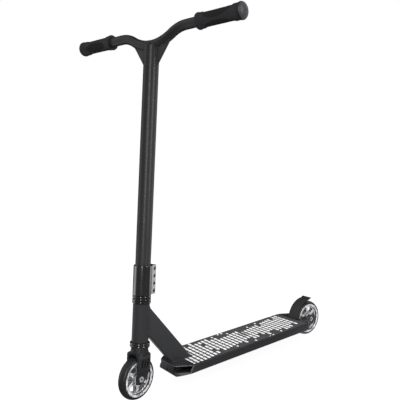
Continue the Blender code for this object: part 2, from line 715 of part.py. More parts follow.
def make_clamp(head):
    """Split collar with two ears behind, drawn together by a row of bolts."""
    bore = DOWN_TUBE_RADIUS + GAP
    outside = bore + CLAMP_WALL
    ear = EAR_WIDTH / 2
    back = outside + EAR_DEPTH
    slit = CLAMP_SLIT / 2
    rounding = EAR_ROUNDING
    join = math.acos(ear / outside)
    half = [(slit, math.sqrt(bore ** 2 - slit ** 2)), (slit, back)]
    half += arc((ear - rounding, back - rounding), rounding, math.pi / 2, 0, 4)
    half += arc((0, 0), outside, join, -math.pi / 2, 10)
    start = math.asin(slit / bore)
    inside = arc((0, 0), bore, -math.pi / 2, math.pi / 2 - start, 12)
    outline = half + [(-x, y) for x, y in reversed(half[:-1])]
    outline += [(-x, y) for x, y in reversed(inside[1:-1])] + inside[:-1]
    clamp = piece("clamp_collar", prism(outline, CLAMP_FOOT, CLAMP_TOP, "Z"), DARK_CHROME, head)

    bolt_radius = CLAMP_BOLT_DIAMETER / 2
    head_radius = CLAMP_BOLT_HEAD / 2
    bolt_y = (outside + back) / 2 - CLAMP_BOLT_AHEAD
    seat = ear - CLAMP_BOLT_HEAD_HEIGHT
    bore = bolt_radius + GAP
    counterbore = head_radius + GAP
    hole = [(0, -CLAMP_HEIGHT), (bore, -CLAMP_HEIGHT), (bore, 0), (counterbore, 0)]
    hole += [(counterbore, CLAMP_HEIGHT), (0, CLAMP_HEIGHT)]
    shape = socket_head(head_radius, CLAMP_BOLT_HEAD_HEIGHT, bolt_radius, ear + seat, CLAMP_KEY)
    holes = []
    for k in range(CLAMP_BOLTS):
        height = (CLAMP_FOOT + CLAMP_TOP) / 2 + (k - (CLAMP_BOLTS - 1) / 2) * CLAMP_BOLT_PITCH
        holes.append(laid(turned(hole, SMALL), (1, 0, 0), (seat, bolt_y, height)))
        bolt = laid(turned(shape, SMALL), (1, 0, 0), (seat + GAP, bolt_y, height))
        piece("clamp_bolt_{}".format(k + 1), bolt, STEEL, head)
    combine(clamp, "DIFFERENCE", "clamp_holes", joined(holes))


def make_compression_parts(head):
    """What is hidden in the bars: shim, cap, bolt and star nut."""
    shim_inside = STEERER_RADIUS + GAP
    shim = ring(shim_inside, shim_inside + SHIM_WALL, CLAMP_FOOT + GAP, STEERER_TOP, ROUND)
    piece("steerer_shim", shim, STEEL, head)

    bore = COMPRESSION_BOLT_DIAMETER / 2 + GAP
    foot = STEERER_TOP + GAP
    top = foot + CAP_THICKNESS
    cap = ring(bore, shim_inside + SHIM_WALL, foot, top, ROUND)
    piece("compression_cap", cap, BLACK_STEEL, head)

    shape = socket_head(
        COMPRESSION_BOLT_HEAD / 2, COMPRESSION_BOLT_HEAD_HEIGHT, COMPRESSION_BOLT_DIAMETER / 2,
        COMPRESSION_BOLT_LENGTH, COMPRESSION_KEY,
    )
    bolt = laid(turned(shape, SMALL), (0, 0, 1), (0, 0, top + GAP))
    piece("compression_bolt", bolt, BLACK_STEEL, head)

    nut_foot = top + GAP - COMPRESSION_BOLT_LENGTH + COMPRESSION_BOLT_END
    nut_top = nut_foot + STAR_NUT_HEIGHT
    star = STEERER_RADIUS - STEERER_WALL - GAP
    barrel = bore + STAR_NUT_WALL
    nut = turned([
        (bore, nut_foot), (star, nut_foot), (star, nut_foot + STAR_NUT_FLANGE),
        (barrel, nut_foot + STAR_NUT_FLANGE), (barrel, nut_top - STAR_NUT_FLANGE),
        (star, nut_top - STAR_NUT_FLANGE), (star, nut_top), (bore, nut_top),
    ], SMALL)
    piece("star_nut", nut, STEEL, head)


def bend_angle():
    """Slope of the cross tube where its inner bend meets its outer bend."""
    return math.acos(1 - BAR_DROP / (INNER_BEND + OUTER_BEND))


def bar_height(x):
    """Height of the cross tube's centre line at a distance x from the middle."""
    angle = bend_angle()
    run = (INNER_BEND + OUTER_BEND) * math.sin(angle)
    if x <= INNER_BEND * math.sin(angle):
        return BAR_MIDDLE + INNER_BEND - math.sqrt(INNER_BEND ** 2 - x ** 2)
    if x >= run:
        return GRIP_LINE
    return GRIP_LINE - OUTER_BEND + math.sqrt(OUTER_BEND ** 2 - (run - x) ** 2)


def bar_path():
    """The gull-wing centre line from the right end to the left end."""
    angle = bend_angle()
    run = (INNER_BEND + OUTER_BEND) * math.sin(angle)
    steps = BEND_STEPS
    half = []
    for k in range(steps + 1):
        t = angle * k / steps
        x = INNER_BEND * math.sin(t)
        half.append((x, BAR_MIDDLE + INNER_BEND * (1 - math.cos(t)), t))
    for k in range(steps - 1, -1, -1):
        t = angle * k / steps
        x = run - OUTER_BEND * math.sin(t)
        half.append((x, GRIP_LINE - OUTER_BEND * (1 - math.cos(t)), t))
    half.append((BAR_WIDTH / 2, GRIP_LINE, 0))
    whole = [(-x, z, -t) for x, z, t in reversed(half[1:])] + half
    return [
        (Vector((x, 0, z)), Vector((math.cos(t), 0, math.sin(t)))) for x, z, t in whole
    ]


def make_bars(head):
    """Down tube, cross tube, two gussets, grips and end plugs."""
    path = bar_path()
    cross = swept(path, CROSS_TUBE_RADIUS, SMALL, CROSS_TUBE_RADIUS - CROSS_TUBE_WALL)
    piece("bar_cross_tube", cross, SATIN_BLACK, head)

    inside = DOWN_TUBE_RADIUS - DOWN_TUBE_WALL
    foot = CLAMP_FOOT + GAP
    spring = BAR_MIDDLE - DOWN_TUBE_DOME_BELOW
    inner_dome = DOWN_TUBE_DOME - DOWN_TUBE_WALL
    dome = []
    hollow = []
    for k in range(DOWN_TUBE_DOME_STEPS + 1):
        t = DOWN_TUBE_DOME_END * k / DOWN_TUBE_DOME_STEPS
        dome.append((DOWN_TUBE_RADIUS * math.cos(t), spring + DOWN_TUBE_DOME * math.sin(t)))
        hollow.append((inside * math.cos(t), spring + inner_dome * math.sin(t)))
    outline = [(inside, foot), (DOWN_TUBE_RADIUS, foot)] + dome + hollow[::-1]
    down = piece("bar_down_tube", turned(outline, ROUND), SATIN_BLACK, head)
    saddle = swept(path, CROSS_TUBE_RADIUS + GAP, SMALL)
    combine(down, "DIFFERENCE", "saddle_cut", saddle)
    slit = DOWN_TUBE_SLIT / 2
    slot = [(-slit, foot - CUTTER), (slit, foot - CUTTER), (slit, foot + DOWN_TUBE_SLIT_LENGTH)]
    slot += arc((0, foot + DOWN_TUBE_SLIT_LENGTH), slit, 0, math.pi, 4)[1:]
    combine(down, "DIFFERENCE", "slit_cut", prism(slot, 0, DOWN_TUBE_DIAMETER, "Y"))

    for name, sign in (("left", 1), ("right", -1)):
        toe = Vector((DOWN_TUBE_RADIUS, BAR_MIDDLE - GUSSET_DROP))
        tip = Vector((GUSSET_REACH, bar_height(GUSSET_REACH) - CROSS_TUBE_RADIUS))
        edge = (tip - toe).normalized()
        low = toe - edge * CUTTER
        high = tip + edge * CROSS_TUBE_RADIUS / 2
        inner = DOWN_TUBE_RADIUS / 2
        outline = [(low.x, low.y), (high.x, high.y)]
        for k in range(1, GUSSET_STEPS + 1):
            x = high.x + (inner - high.x) * k / GUSSET_STEPS
            outline.append((x, bar_height(x)))
        outline.append((inner, low.y))
        outline = [(sign * x, z) for x, z in outline]
        half = GUSSET_THICKNESS / 2
        gusset = piece("bar_gusset_" + name, prism(outline, -half, half, "Y"), SATIN_BLACK, head)
        around = rod((0, 0, low.y - CUTTER), (0, 0, GRIP_LINE), DOWN_TUBE_RADIUS + GAP, ROUND)
        combine(gusset, "DIFFERENCE", "gusset_tube_cut_" + name, around)
        saddle = swept(path, CROSS_TUBE_RADIUS + GAP, SMALL)
        combine(gusset, "DIFFERENCE", "gusset_saddle_" + name, saddle)

        quarter = math.pi / 2 * sign
        axis = empty("grip_axis_" + name, (0, 0, GRIP_LINE), (0, quarter, 0), head)
        end = BAR_WIDTH / 2
        start = end - GRIP_LENGTH
        bore = CROSS_TUBE_RADIUS + GAP
        body = GRIP_DIAMETER / 2
        flange = GRIP_FLANGE_DIAMETER / 2
        collar = GRIP_COLLAR_DIAMETER / 2
        rounding = GRIP_ROUNDING
        body_start = start + GRIP_COLLAR + GRIP_COLLAR_TAPER
        body_end = end - GRIP_COLLAR - GRIP_COLLAR_TAPER
        grip = turned([
            (bore, start), (flange - rounding, start), (flange, start + rounding),
            (flange, start + GRIP_FLANGE - rounding), (flange - rounding, start + GRIP_FLANGE),
            (collar, start + GRIP_FLANGE + rounding), (collar, start + GRIP_COLLAR),
            (body, body_start), (body, body_end), (collar, end - GRIP_COLLAR),
            (collar, end - rounding), (collar - rounding, end), (bore, end),
        ], ROUND)
        piece("grip_" + name, grip, RUBBER, axis)

        stem = CROSS_TUBE_RADIUS - CROSS_TUBE_WALL - GAP
        rim = end + GAP
        dome_foot = rim + PLUG_RIM
        hole = PLUG_HOLE / 2
        plug_radius = PLUG_DIAMETER / 2
        rise = [
            (plug_radius * math.cos(t), dome_foot + PLUG_DOME * math.sin(t))
            for t in [PLUG_DOME_END * k / PLUG_DOME_STEPS for k in range(PLUG_DOME_STEPS + 1)]
        ]
        outline = [(0, end - PLUG_STEM), (stem, end - PLUG_STEM), (stem, rim), (plug_radius, rim)]
        outline += rise + [(hole, rise[-1][1]), (hole, dome_foot), (0, dome_foot)]
        piece("bar_end_plug_" + name, turned(outline, ROUND), BLACK_PLASTIC, axis)


def neck_line(offset):
    """A line along the neck in the YZ plane: its start on the steering axis and its direction."""
    join = STEERING_FOOT + STEERING_DIRECTION * (HEAD_TUBE_TOP - NECK_JOIN)
    along = Vector((math.cos(NECK_SLOPE), -math.sin(NECK_SLOPE)))
    normal = Vector((math.sin(NECK_SLOPE), math.cos(NECK_SLOPE)))
    return Vector((join.y, join.z)) + normal * offset, along


def on_level(offset, level):
    """Where a line along the neck reaches a height."""
    start, along = neck_line(offset)
    return start + along * ((level - start.y) / along.y)


def on_steering_axis(offset):
    """Where a line along the neck reaches the steering axis."""
    start, along = neck_line(offset)
    up = Vector((STEERING_DIRECTION.y, STEERING_DIRECTION.z))
    away = start - Vector((STEERING_FOOT.y, STEERING_FOOT.z))
    return start - along * (away.cross(up) / along.cross(up))


def make_neck(frame):
    """Rectangular tube from the head tube down to the deck."""
    half = NECK_HEIGHT / 2
    level = DECK_TOP + GAP
    outline = [on_steering_axis(half), on_level(half, level), on_level(-half, level)]
    outline.append(on_steering_axis(-half))
    side = NECK_WIDTH / 2
    neck = piece("neck", prism(outline, -side, side, "X"), SATIN_BLACK, frame)
    inner = half - NECK_WALL
    hollow = [
        on_steering_axis(inner), on_level(inner, level - CUTTER),
        on_level(-inner, level - CUTTER), on_steering_axis(-inner),
    ]
    wall_side = side - NECK_WALL
    combine(neck, "DIFFERENCE", "neck_hollow", prism(hollow, -wall_side, wall_side, "X"))
    mouth = Vector((0, *on_steering_axis(half)))
    high = mouth + STEERING_DIRECTION * HEAD_TUBE_DIAMETER
    around = rod(STEERING_FOOT, high, HEAD_TUBE_DIAMETER / 2 + GAP, FINE)
    combine(neck, "DIFFERENCE", "neck_fishmouth", around)


def fender_radius():
    """Radius of the fender's middle line about the rear axle."""
    return WHEEL_RADIUS + FENDER_CLEARANCE + FENDER_THICKNESS / 2


def fender_start():
    """Angle, from straight ahead, at which the fender rises out of the deck."""
    rise = DECK_TOP + 2 * GAP - WHEEL_RADIUS
    return math.asin(rise / fender_radius())


def fender_foot_y():
    """Middle of the fender's foot plate."""
    return REAR_AXLE_Y - fender_radius() * math.cos(fender_start())


def make_deck(frame):
    """Hollow extrusion: a cross-section met by a plan and by a side view; then its grip tape."""
    nose = on_level(-NECK_HEIGHT / 2, DECK_TOP).x - DECK_NOSE_AHEAD
    tail = REAR_AXLE_Y + ARM_BEHIND_AXLE
    slot_front = fender_foot_y() - FENDER_THICKNESS / 2 - GAP
    tail_taper = REAR_AXLE_Y - DECK_TAIL_TAPER_AHEAD
    pocket = FENDER_WIDTH / 2 + GAP
    pocket_end = slot_front + FENDER_THICKNESS + FENDER_SCREW_HEAD_HEIGHT + FENDER_SCREW_ROOM
    edge = DECK_EDGE
    section = mirrored([
        (KEEL_WIDTH / 2, DECK_FOOT), (DECK_HALF, DECK_SIDE_FOOT),
        (DECK_HALF, DECK_TOP - edge), (DECK_HALF - edge, DECK_TOP),
    ])
    end = tail + ARM_END_RADIUS + CUTTER
    deck = piece("deck", prism(section, nose - CUTTER, end, "Y"), SATIN_BLACK, frame)

    beyond = end + CUTTER
    slot = WHEEL_SLOT / 2
    side = DECK_HALF + GAP
    low = DECK_FOOT - CUTTER
    high = DECK_TOP + CUTTER
    slant = (DECK_NOSE_TAPER_TOP - DECK_NOSE_TAPER) / DECK_SIDE
    nose_lean = (DECK_NOSE_WIDTH - DECK_NOSE_WIDTH_TOP) / 2 / (DECK_TOP - DECK_FOOT)
    plans = []
    for z in (low, high):
        taper = nose + DECK_NOSE_TAPER + slant * (z - DECK_SIDE_FOOT)
        nose_half = DECK_NOSE_WIDTH / 2 - nose_lean * (z - DECK_FOOT)
        plans.append(mirrored([
            (pocket, slot_front), (pocket, pocket_end), (slot, pocket_end), (slot, beyond),
            (ARM_OUTSIDE, beyond), (ARM_OUTSIDE, tail_taper + ARM_TAPER), (side, tail_taper),
            (side, taper), (nose_half, nose),
        ]))
    combine(deck, "INTERSECT", "deck_plan", between_plans(plans[0], low, plans[1], high))

    ahead = nose - 2 * CUTTER
    side_view = [(ahead, low), (tail, low)]
    side_view += arc((tail, WHEEL_RADIUS), ARM_END_RADIUS, -math.pi / 2, math.pi / 2, 10)
    side_view += [(tail, high), (ahead, high)]
    reach = side + CUTTER
    combine(deck, "INTERSECT", "deck_side_view", prism(side_view, -reach, reach, "X"))

    floor = DECK_SIDE_FOOT + DECK_WALL
    ceiling = DECK_TOP - DECK_WALL
    keel_floor = DECK_FOOT + DECK_WALL
    inner = RAIL_OUTSIDE - DECK_RIB
    chambers = bmesh.new()
    for left, right, low, start, end in (
        (-DECK_HALF + DECK_WALL, -RAIL_OUTSIDE, floor, ahead, beyond),
        (-inner, inner, keel_floor, nose + NOSE_WALL, slot_front - TAIL_WALL),
        (RAIL_OUTSIDE, DECK_HALF - DECK_WALL, floor, ahead, beyond),
    ):
        box = [(left, low), (right, low), (right, ceiling), (left, ceiling)]
        prism(box, start, end, "Y", chambers)
    combine(deck, "DIFFERENCE", "deck_chambers", chambers)

    seat = ARM_OUTSIDE - AXLE_POCKET_DEPTH
    axle = axle_cut(ARM_OUTSIDE, seat, (0, REAR_AXLE_Y, WHEEL_RADIUS))
    combine(deck, "DIFFERENCE", "rear_axle_cut", axle)

    holes = bmesh.new()
    for x, z in fender_screw_places():
        radius = FENDER_SCREW_DIAMETER / 2 + GAP
        start = (x, slot_front - FENDER_SCREW_LENGTH, z)
        rod(start, (x, slot_front + CUTTER / 4, z), radius, SMALL, holes)
    height = DECK_FOOT + NOSE_HOLE_HEIGHT
    rod((0, ahead, height), (0, nose + NOSE_HOLE_DEPTH, height), NOSE_HOLE / 2, SMALL, holes)
    combine(deck, "DIFFERENCE", "deck_holes", holes)

    margin = NECK_WIDTH / 2 + TAPE_NECK_MARGIN
    notch = on_level(NECK_HEIGHT / 2, DECK_TOP).x + TAPE_NECK_MARGIN
    width = DECK_HALF - TAPE_MARGIN
    front = nose + DECK_NOSE_TAPER_TOP + TAPE_FRONT_MARGIN
    rear = min(tail_taper, slot_front) - TAPE_REAR_MARGIN
    half = [(width, rear), (width, front), (margin, front), (margin, notch)]
    foot = DECK_TOP + GAP
    tape = prism(mirrored(half), foot, foot + TAPE_THICKNESS, "Z")
    piece("grip_tape", tape, GRIT, frame)


def fender_screw_places():
    """Two screws beside the middle, halfway up the foot plate."""
    height = DECK_TOP - FENDER_FOOT / 2
    spread = FENDER_WIDTH / 2 - FENDER_SCREW_HEAD / 2 - GAP
    return [(-spread, height), (spread, height)]


def strip(points, thickness):
    """Outline of a bent strip from its middle line."""
    left = []
    right = []
    for k, point in enumerate(points):
        before = points[max(k - 1, 0)]
        after = points[min(k + 1, len(points) - 1)]
        along = (after - before).normalized()
        normal = Vector((-along.y, along.x))
        left.append(point + normal * thickness / 2)
        right.append(point - normal * thickness / 2)
    return left + right[::-1]


def make_fender(frame, hinge):
    """Foot plate screwed to the deck, and the strip that flexes down onto the tyre."""
    foot_y = fender_foot_y()
    half = FENDER_THICKNESS / 2
    top = DECK_TOP
    foot = [
        (foot_y - half, top - FENDER_FOOT), (foot_y + half, top - FENDER_FOOT),
        (foot_y + half, top), (foot_y - half, top),
    ]
    side = FENDER_WIDTH / 2
    plate = piece("fender_foot", prism(foot, -side, side, "X"), BLACK_STEEL, frame)
    holes = bmesh.new()
    radius = FENDER_SCREW_DIAMETER / 2
    shape = socket_head(
        FENDER_SCREW_HEAD / 2, FENDER_SCREW_HEAD_HEIGHT, radius, FENDER_SCREW_LENGTH, FENDER_SCREW_KEY,
    )
    for k, (x, z) in enumerate(fender_screw_places()):
        rod((x, foot_y - CUTTER, z), (x, foot_y + CUTTER, z), radius + GAP, SMALL, holes)
        screw = laid(turned(shape, SMALL), (0, 1, 0), (x, foot_y + half + GAP, z))
        piece("fender_screw_{}".format(k + 1), screw, BLACK_STEEL, frame)
    combine(plate, "DIFFERENCE", "fender_foot_holes", holes)

    radius = fender_radius()
    start = fender_start()
    centre = Vector((REAR_AXLE_Y, WHEEL_RADIUS)) - Vector((hinge.location.y, hinge.location.z))
    line = []
    for k in range(FENDER_STEPS + 1):
        angle = start + (FENDER_END - start) * k / FENDER_STEPS
        line.append(centre + radius * Vector((-math.cos(angle), math.sin(angle))))
    lip = Vector((math.cos(FENDER_LIP_TILT), math.sin(FENDER_LIP_TILT)))
    line.append(line[-1] + lip * FENDER_LIP)
    piece("fender_brake", prism(strip(line, FENDER_THICKNESS), -side, side, "X"), BLACK_STEEL, hinge)


def main():
    for item in list(bpy.data.objects):
        bpy.data.objects.remove(item, do_unlink=True)

    frame = empty("frame")
    axis = empty("steering_axis", STEERING_FOOT, (-HEAD_LEAN, 0, 0), frame)
    head = empty("steering_head", (0, 0, 0), (0, 0, BARS_TURNED), axis)
    quarter = (0, math.pi / 2, 0)
    front_axle = empty("front_axle", (0, -FORK_OFFSET, 0), quarter, head)
    rear_axle = empty("rear_axle", (0, REAR_AXLE_Y, WHEEL_RADIUS), quarter, frame)
    hinge = empty("fender_hinge", (0, fender_foot_y(), DECK_TOP), (0, 0, 0), frame)

    make_neck(frame)
    make_deck(frame)
    make_fender(frame, hinge)
    make_headset(axis, head)
    make_fork(head)
    make_clamp(head)
    make_compression_parts(head)
    make_bars(head)
    make_wheel("front", front_axle)
    make_wheel("rear", rear_axle)
    make_axle("front", front_axle, DROPOUT_OUTSIDE - DROPOUT_POCKET)
    make_axle("rear", rear_axle, ARM_OUTSIDE - AXLE_POCKET_DEPTH)


main()
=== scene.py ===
"""The stunt scooter's looks: its visible pieces in full detail, welds, tape print and finishes,
with a pale floor, soft lights and the camera. Sizes are in metres, in the part's own frame."""
import json
import math
from functools import partialmethod

import bmesh
import bpy
from mathutils import Matrix, Vector


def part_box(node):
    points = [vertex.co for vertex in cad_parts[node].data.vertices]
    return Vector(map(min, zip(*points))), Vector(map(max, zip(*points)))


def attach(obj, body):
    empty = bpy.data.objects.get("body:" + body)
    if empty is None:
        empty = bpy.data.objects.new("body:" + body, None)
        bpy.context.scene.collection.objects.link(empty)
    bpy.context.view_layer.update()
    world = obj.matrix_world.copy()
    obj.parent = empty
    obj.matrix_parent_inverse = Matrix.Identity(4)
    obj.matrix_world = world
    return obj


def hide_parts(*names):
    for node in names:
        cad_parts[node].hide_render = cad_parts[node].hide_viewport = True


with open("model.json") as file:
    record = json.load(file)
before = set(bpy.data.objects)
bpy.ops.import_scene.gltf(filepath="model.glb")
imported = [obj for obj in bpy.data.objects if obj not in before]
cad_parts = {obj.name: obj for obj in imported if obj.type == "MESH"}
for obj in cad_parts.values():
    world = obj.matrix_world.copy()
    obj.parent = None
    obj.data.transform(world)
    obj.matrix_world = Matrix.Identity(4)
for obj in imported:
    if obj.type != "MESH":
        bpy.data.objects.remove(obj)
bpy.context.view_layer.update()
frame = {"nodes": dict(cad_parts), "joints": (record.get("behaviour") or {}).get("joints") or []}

# Mesh making
MERGE = 0.000002
SPREAD = 0.010            # how far a cutting body runs past what it cuts
WHEEL_ROUND = 144         # flat sides of turned bodies, from large to small
FINE = 96
ROUND = 64
SMALL = 40
EDGE_ANGLE = math.radians(28)
GAP = 0.0003
QUARTER = math.pi / 2
SIDES = (("left", 1), ("right", -1))

# Wheels
TYRE_RADIUS = 0.050
TYRE_SIDE = 0.012
TYRE_SEAT = 0.0423
TYRE_BEAD = 0.0111
CORE_SIDE = 0.0113
CORE_RADIUS = 0.0420
RIM_INSIDE = 0.0352
HUB_RADIUS = 0.0155
HUB_SIDE = 0.012
WEB_SIDE = 0.0055
SPOKES = 6
SPOKE_WIDTH = 0.0075
BEARING_RADIUS = 0.011
BEARING_WIDTH = 0.007
RACE = 0.0019
AXLE_RADIUS = 0.0039
AXLE_POCKET_RADIUS = 0.0076
AXLE_POCKET_DEPTH = 0.0046
AXLE_HEAD_RADIUS = 0.00675
AXLE_HEAD_HEIGHT = 0.0026
AXLE_KEY = 0.0020
NUT_WIDTH = 0.0126
NUT_HEIGHT = 0.0062
WASHER_RADIUS = 0.0069
WHEEL_SLOT = 0.0275

# Fork, in the frame of the turned steering axis
LEG_INSIDE = WHEEL_SLOT / 2
LEG_OUTSIDE = LEG_INSIDE + 0.0085
FORK_OFFSET = 0.007
FORK_FRONT = -0.0205
FORK_BACK = 0.0175
LEG_EDGE = 0.0045
DROPOUT_RADIUS = 0.011
DROPOUT_CORNER = 0.0040
DROPOUT_OUTSIDE = 0.0185
DROPOUT_SEAT = DROPOUT_OUTSIDE - 0.0024
LEAN_FOOT = 0.0085
LEAN_TOP = 0.034
TAPER_HEIGHT = 0.017
CROWN_FOOT = 0.0545
BLOCK_TOP = 0.062
CROWN_TOP = 0.068
CROWN_SHOULDER = 0.015
CROWN_BROW = 0.0095
CROWN_ARCH = 0.007
CROWN_BOSS = 0.020
STEERER_RADIUS = 0.0143
LEG_SLOTS = 3
LEG_SLOT_WIDTH = 0.0034
LEG_SLOT_LENGTH = 0.020
LEG_SLOT_PITCH = 0.0084
LEG_SLOT_TILT = math.radians(22)
LEG_SLOT_HEIGHT = 0.0352
LEG_SLOT_WAVE = 0.0013

# Head tube, headset and clamp, along the steering axis
HEAD_TUBE_FOOT = 0.0823
HEAD_TUBE_TOP = 0.172
HEAD_TUBE_RADIUS = 0.0195
HEAD_TUBE_BORE = 0.0165
CUP_SKIRT = 0.0083
CUP_WALL = 0.0024
CUP_FLOOR = 0.0035
CUP_WAIST = 0.46
CAP_EDGE = 0.0030
CAP_WALL = 0.006
CAP_ROOF = 0.004
CLAMP_FOOT = 0.1914
CLAMP_TOP = 0.2594
CLAMP_WALL = 0.0034
CLAMP_SLIT = 0.0024
EAR_WIDTH = 0.026
EAR_DEPTH = 0.0105
EAR_ROUNDING = 0.0025
CLAMP_BOLTS = 4
CLAMP_BOLT_PITCH = 0.0173
CLAMP_BOLT_RADIUS = 0.005
CLAMP_BOLT_HEIGHT = 0.0038
CLAMP_BOLT_SHANK = 0.003
CLAMP_BOLT_KEY = 0.0025

# Bars
TUBE_RADIUS = 0.0178
TUBE_WALL = 0.002
TUBE_SLIT = 0.003
TUBE_SLIT_LENGTH = 0.055
DOME_HEIGHT = 0.016
DOME_BELOW = 0.006
DOME_END = math.radians(55)
GRIP_LINE = 0.789
BAR_DROP = 0.0275
BAR_MIDDLE = GRIP_LINE - BAR_DROP
DOME_SPRING = BAR_MIDDLE - DOME_BELOW
BAR_HALF = 0.243
CROSS_RADIUS = 0.0111
CROSS_WALL = 0.0016
INNER_BEND = 0.120
OUTER_BEND = 0.080
BEND_ANGLE = math.acos(1 - BAR_DROP / (INNER_BEND + OUTER_BEND))
BEND_RUN = (INNER_BEND + OUTER_BEND) * math.sin(BEND_ANGLE)
GUSSET_HALF = 0.0025
GUSSET_REACH = 0.0565
GUSSET_TOE = BAR_MIDDLE - 0.0505
GRIP_LENGTH = 0.1065
GRIP_RADIUS = 0.0153
FLANGE_RADIUS = 0.0179
FLANGE_WIDTH = 0.0042
FLANGE_EDGE = 0.0015
COLLAR_RADIUS = 0.0168
COLLAR_WIDTH = 0.013
COLLAR_TAPER = 0.0035
PAD_DEPTH = 0.0007
PADS = 3
RIB_PITCH = 0.0034
PLUG_RADIUS = 0.0178
PLUG_RIM = 0.0020
PLUG_DOME = 0.0092
PLUG_DOME_END = math.radians(83)
PLUG_HOLE = 0.0015
PLUG_STEM = CROSS_RADIUS - 0.0019
PLUG_STEM_LENGTH = 0.02
BAR_WELD = {"Pitch": 0.0016, "Width": 0.0036, "Seed": 3}

# Neck and deck, in the frame of the ground
NECK_HALF = 0.012
NECK_HEIGHT = 0.0455
NECK_SLOPE = math.radians(54)
NECK_JOIN = 0.0249
NECK_EDGE = 0.003
NECK_BLANK = 0.30         # length of the neck's tube before it is cut
FRAME_WELD = {"Pitch": 0.0017, "Width": 0.0040, "Seed": 5}
DECK_TOP = 0.060
DECK_HALF = 0.059
DECK_SIDE_FOOT = 0.041
DECK_FOOT = 0.035
KEEL_HALF = 0.038
NOSE_HALF = 0.0365
NOSE_HALF_TOP = 0.0275
NOSE_TAPER = 0.030
NOSE_TAPER_TOP = 0.043
NOSE_AHEAD = 0.008
DECK_EDGE = 0.0015
DECK_WALL = 0.0035
RAIL_OUTSIDE = 0.028
MIDDLE_CHAMBER = 0.0245
NOSE_WALL = 0.012
NOSE_HOLE_HEIGHT = DECK_FOOT + 0.0075
NOSE_HOLE_DEPTH = 0.020
NOSE_HOLE_RADIUS = 0.0025
TAIL_WALL = 0.020
ARM_OUTSIDE = WHEEL_SLOT / 2 + 0.010
ARM_SEAT = ARM_OUTSIDE - AXLE_POCKET_DEPTH
ARM_END_RADIUS = 0.0115
ARM_BEHIND_AXLE = 0.006
ARM_TAPER = 0.050
TAIL_TAPER_AHEAD = 0.055
FENDER_WIDTH = 0.031
FENDER_THICKNESS = 0.0025
FENDER_CLEARANCE = 0.0066
FENDER_LIP = 0.009
FENDER_LIP_TILT = math.radians(24)
FENDER_LIP_BEND = 0.0032 * 0.4
SCREW_RADIUS = 0.0038
SCREW_HEIGHT = 0.0018
SCREW_SHANK = 0.002
SCREW_LENGTH = 0.014
SCREW_KEY = 0.0014

# Print on the grip tape
PRINT = {
    "Length": 0.387, "Row Pitch": 0.01203, "Column Pitch": 0.0155, "Row Shift": -0.0022,
    "Dash": 0.0064, "Thickness": 0.00006, "Seed": 11}
PRINT_MIDDLE = 0.0225
PRINT_LIFT = 0.00002
PRINT_MARGIN = 0.0012

# Photographer and studio
VIEW_AZIMUTH = math.radians(54.21)
VIEW_LIFT = math.radians(5.75)
VIEW_ROLL = math.radians(-3.11)
VIEW_PLACE = (0.9623, -0.8035, 0.5503)
VIEW_SIDE = Vector((math.sin(VIEW_AZIMUTH), -math.cos(VIEW_AZIMUTH), 0))
FOCAL_LENGTH = 43.83
FILM_WIDTH = 36.0
LENS_SHIFT = (0.0225, 0.0125)
LAMP_LIFT = 1.25
LAMP_DISTANCE = 2.0
LAMP_WIDTH = 0.26
LAMP_HEIGHT = 1.9
DIM_WAY = Matrix.Rotation(math.radians(12), 3, "Z") @ VIEW_SIDE
DIM_NEAR = (-0.28, 0.12)
DIM_FAR = (-0.90, -0.42)
DIM_SIDE = 0.08
WORLD_LEVEL = 0.35
ZENITH_LEVEL = 0.9
FLOOR_HALF = 1.5
FLOOR_GLOW = 0.85
FLOOR_WHITE = 1.10


def axes_at(origin, along_z, towards_x):
    """A frame with its origin, its Z axis and the side that its X axis faces."""
    z = Vector(along_z).normalized()
    x = Vector(towards_x)
    x = (x - z * x.dot(z)).normalized()
    place = Matrix((x, z.cross(x), z)).transposed().to_4x4()
    place.translation = origin
    return place


def joint(name):
    """Where a joint is and the direction of its axis."""
    found = next(item for item in frame["joints"] if item["name"] == name)
    return Vector(found["pos_m"]), Vector(found["axis"])


STEERING_FOOT, STEERING_AXIS = joint("steering_turn")
FRONT_CENTRE, FRONT_AXIS = joint("front_wheel_spin")
REAR_CENTRE, REAR_AXIS = joint("rear_wheel_spin")
GROUND = Matrix.Identity(4)
STEERING = axes_at(STEERING_FOOT, STEERING_AXIS, (1, 0, 0))
HEAD = axes_at(STEERING_FOOT, STEERING_AXIS, FRONT_AXIS)
FRONT_AXLE = axes_at(FRONT_CENTRE, FRONT_AXIS, -STEERING_AXIS)
REAR_AXLE = axes_at(REAR_CENTRE, REAR_AXIS, (0, 0, -1))


class Nodes:
    """A node tree that is written as calls and sums."""

    def __init__(self, tree):
        self.tree = tree

    def node(self, kind, sockets=None, output=0, **settings):
        """A new node: its settings first, then its sockets, and one of its outputs back."""
        made = self.tree.nodes.new(kind)
        for key, value in settings.items():
            setattr(made, key, value)
        for key, value in (sockets or {}).items():
            self.feed(made.inputs[key], value)
        return Value(self, made.outputs[output])

    def feed(self, socket, value):
        """Links a value to a socket, or sets the socket's own number."""
        if isinstance(value, Value):
            self.tree.links.new(value.socket, socket)
        else:
            socket.default_value = value

    def math(self, operation, *terms):
        """A Math node on one to three terms."""
        return self.node("ShaderNodeMath", dict(enumerate(terms)), operation=operation)

    def between(self, value, low, high, start=0.0, end=1.0):
        """A value's range from low to high, carried over to start to end and held there."""
        return self.node("ShaderNodeMapRange", {
            "Value": value, "From Min": low, "From Max": high, "To Min": start, "To Max": end})


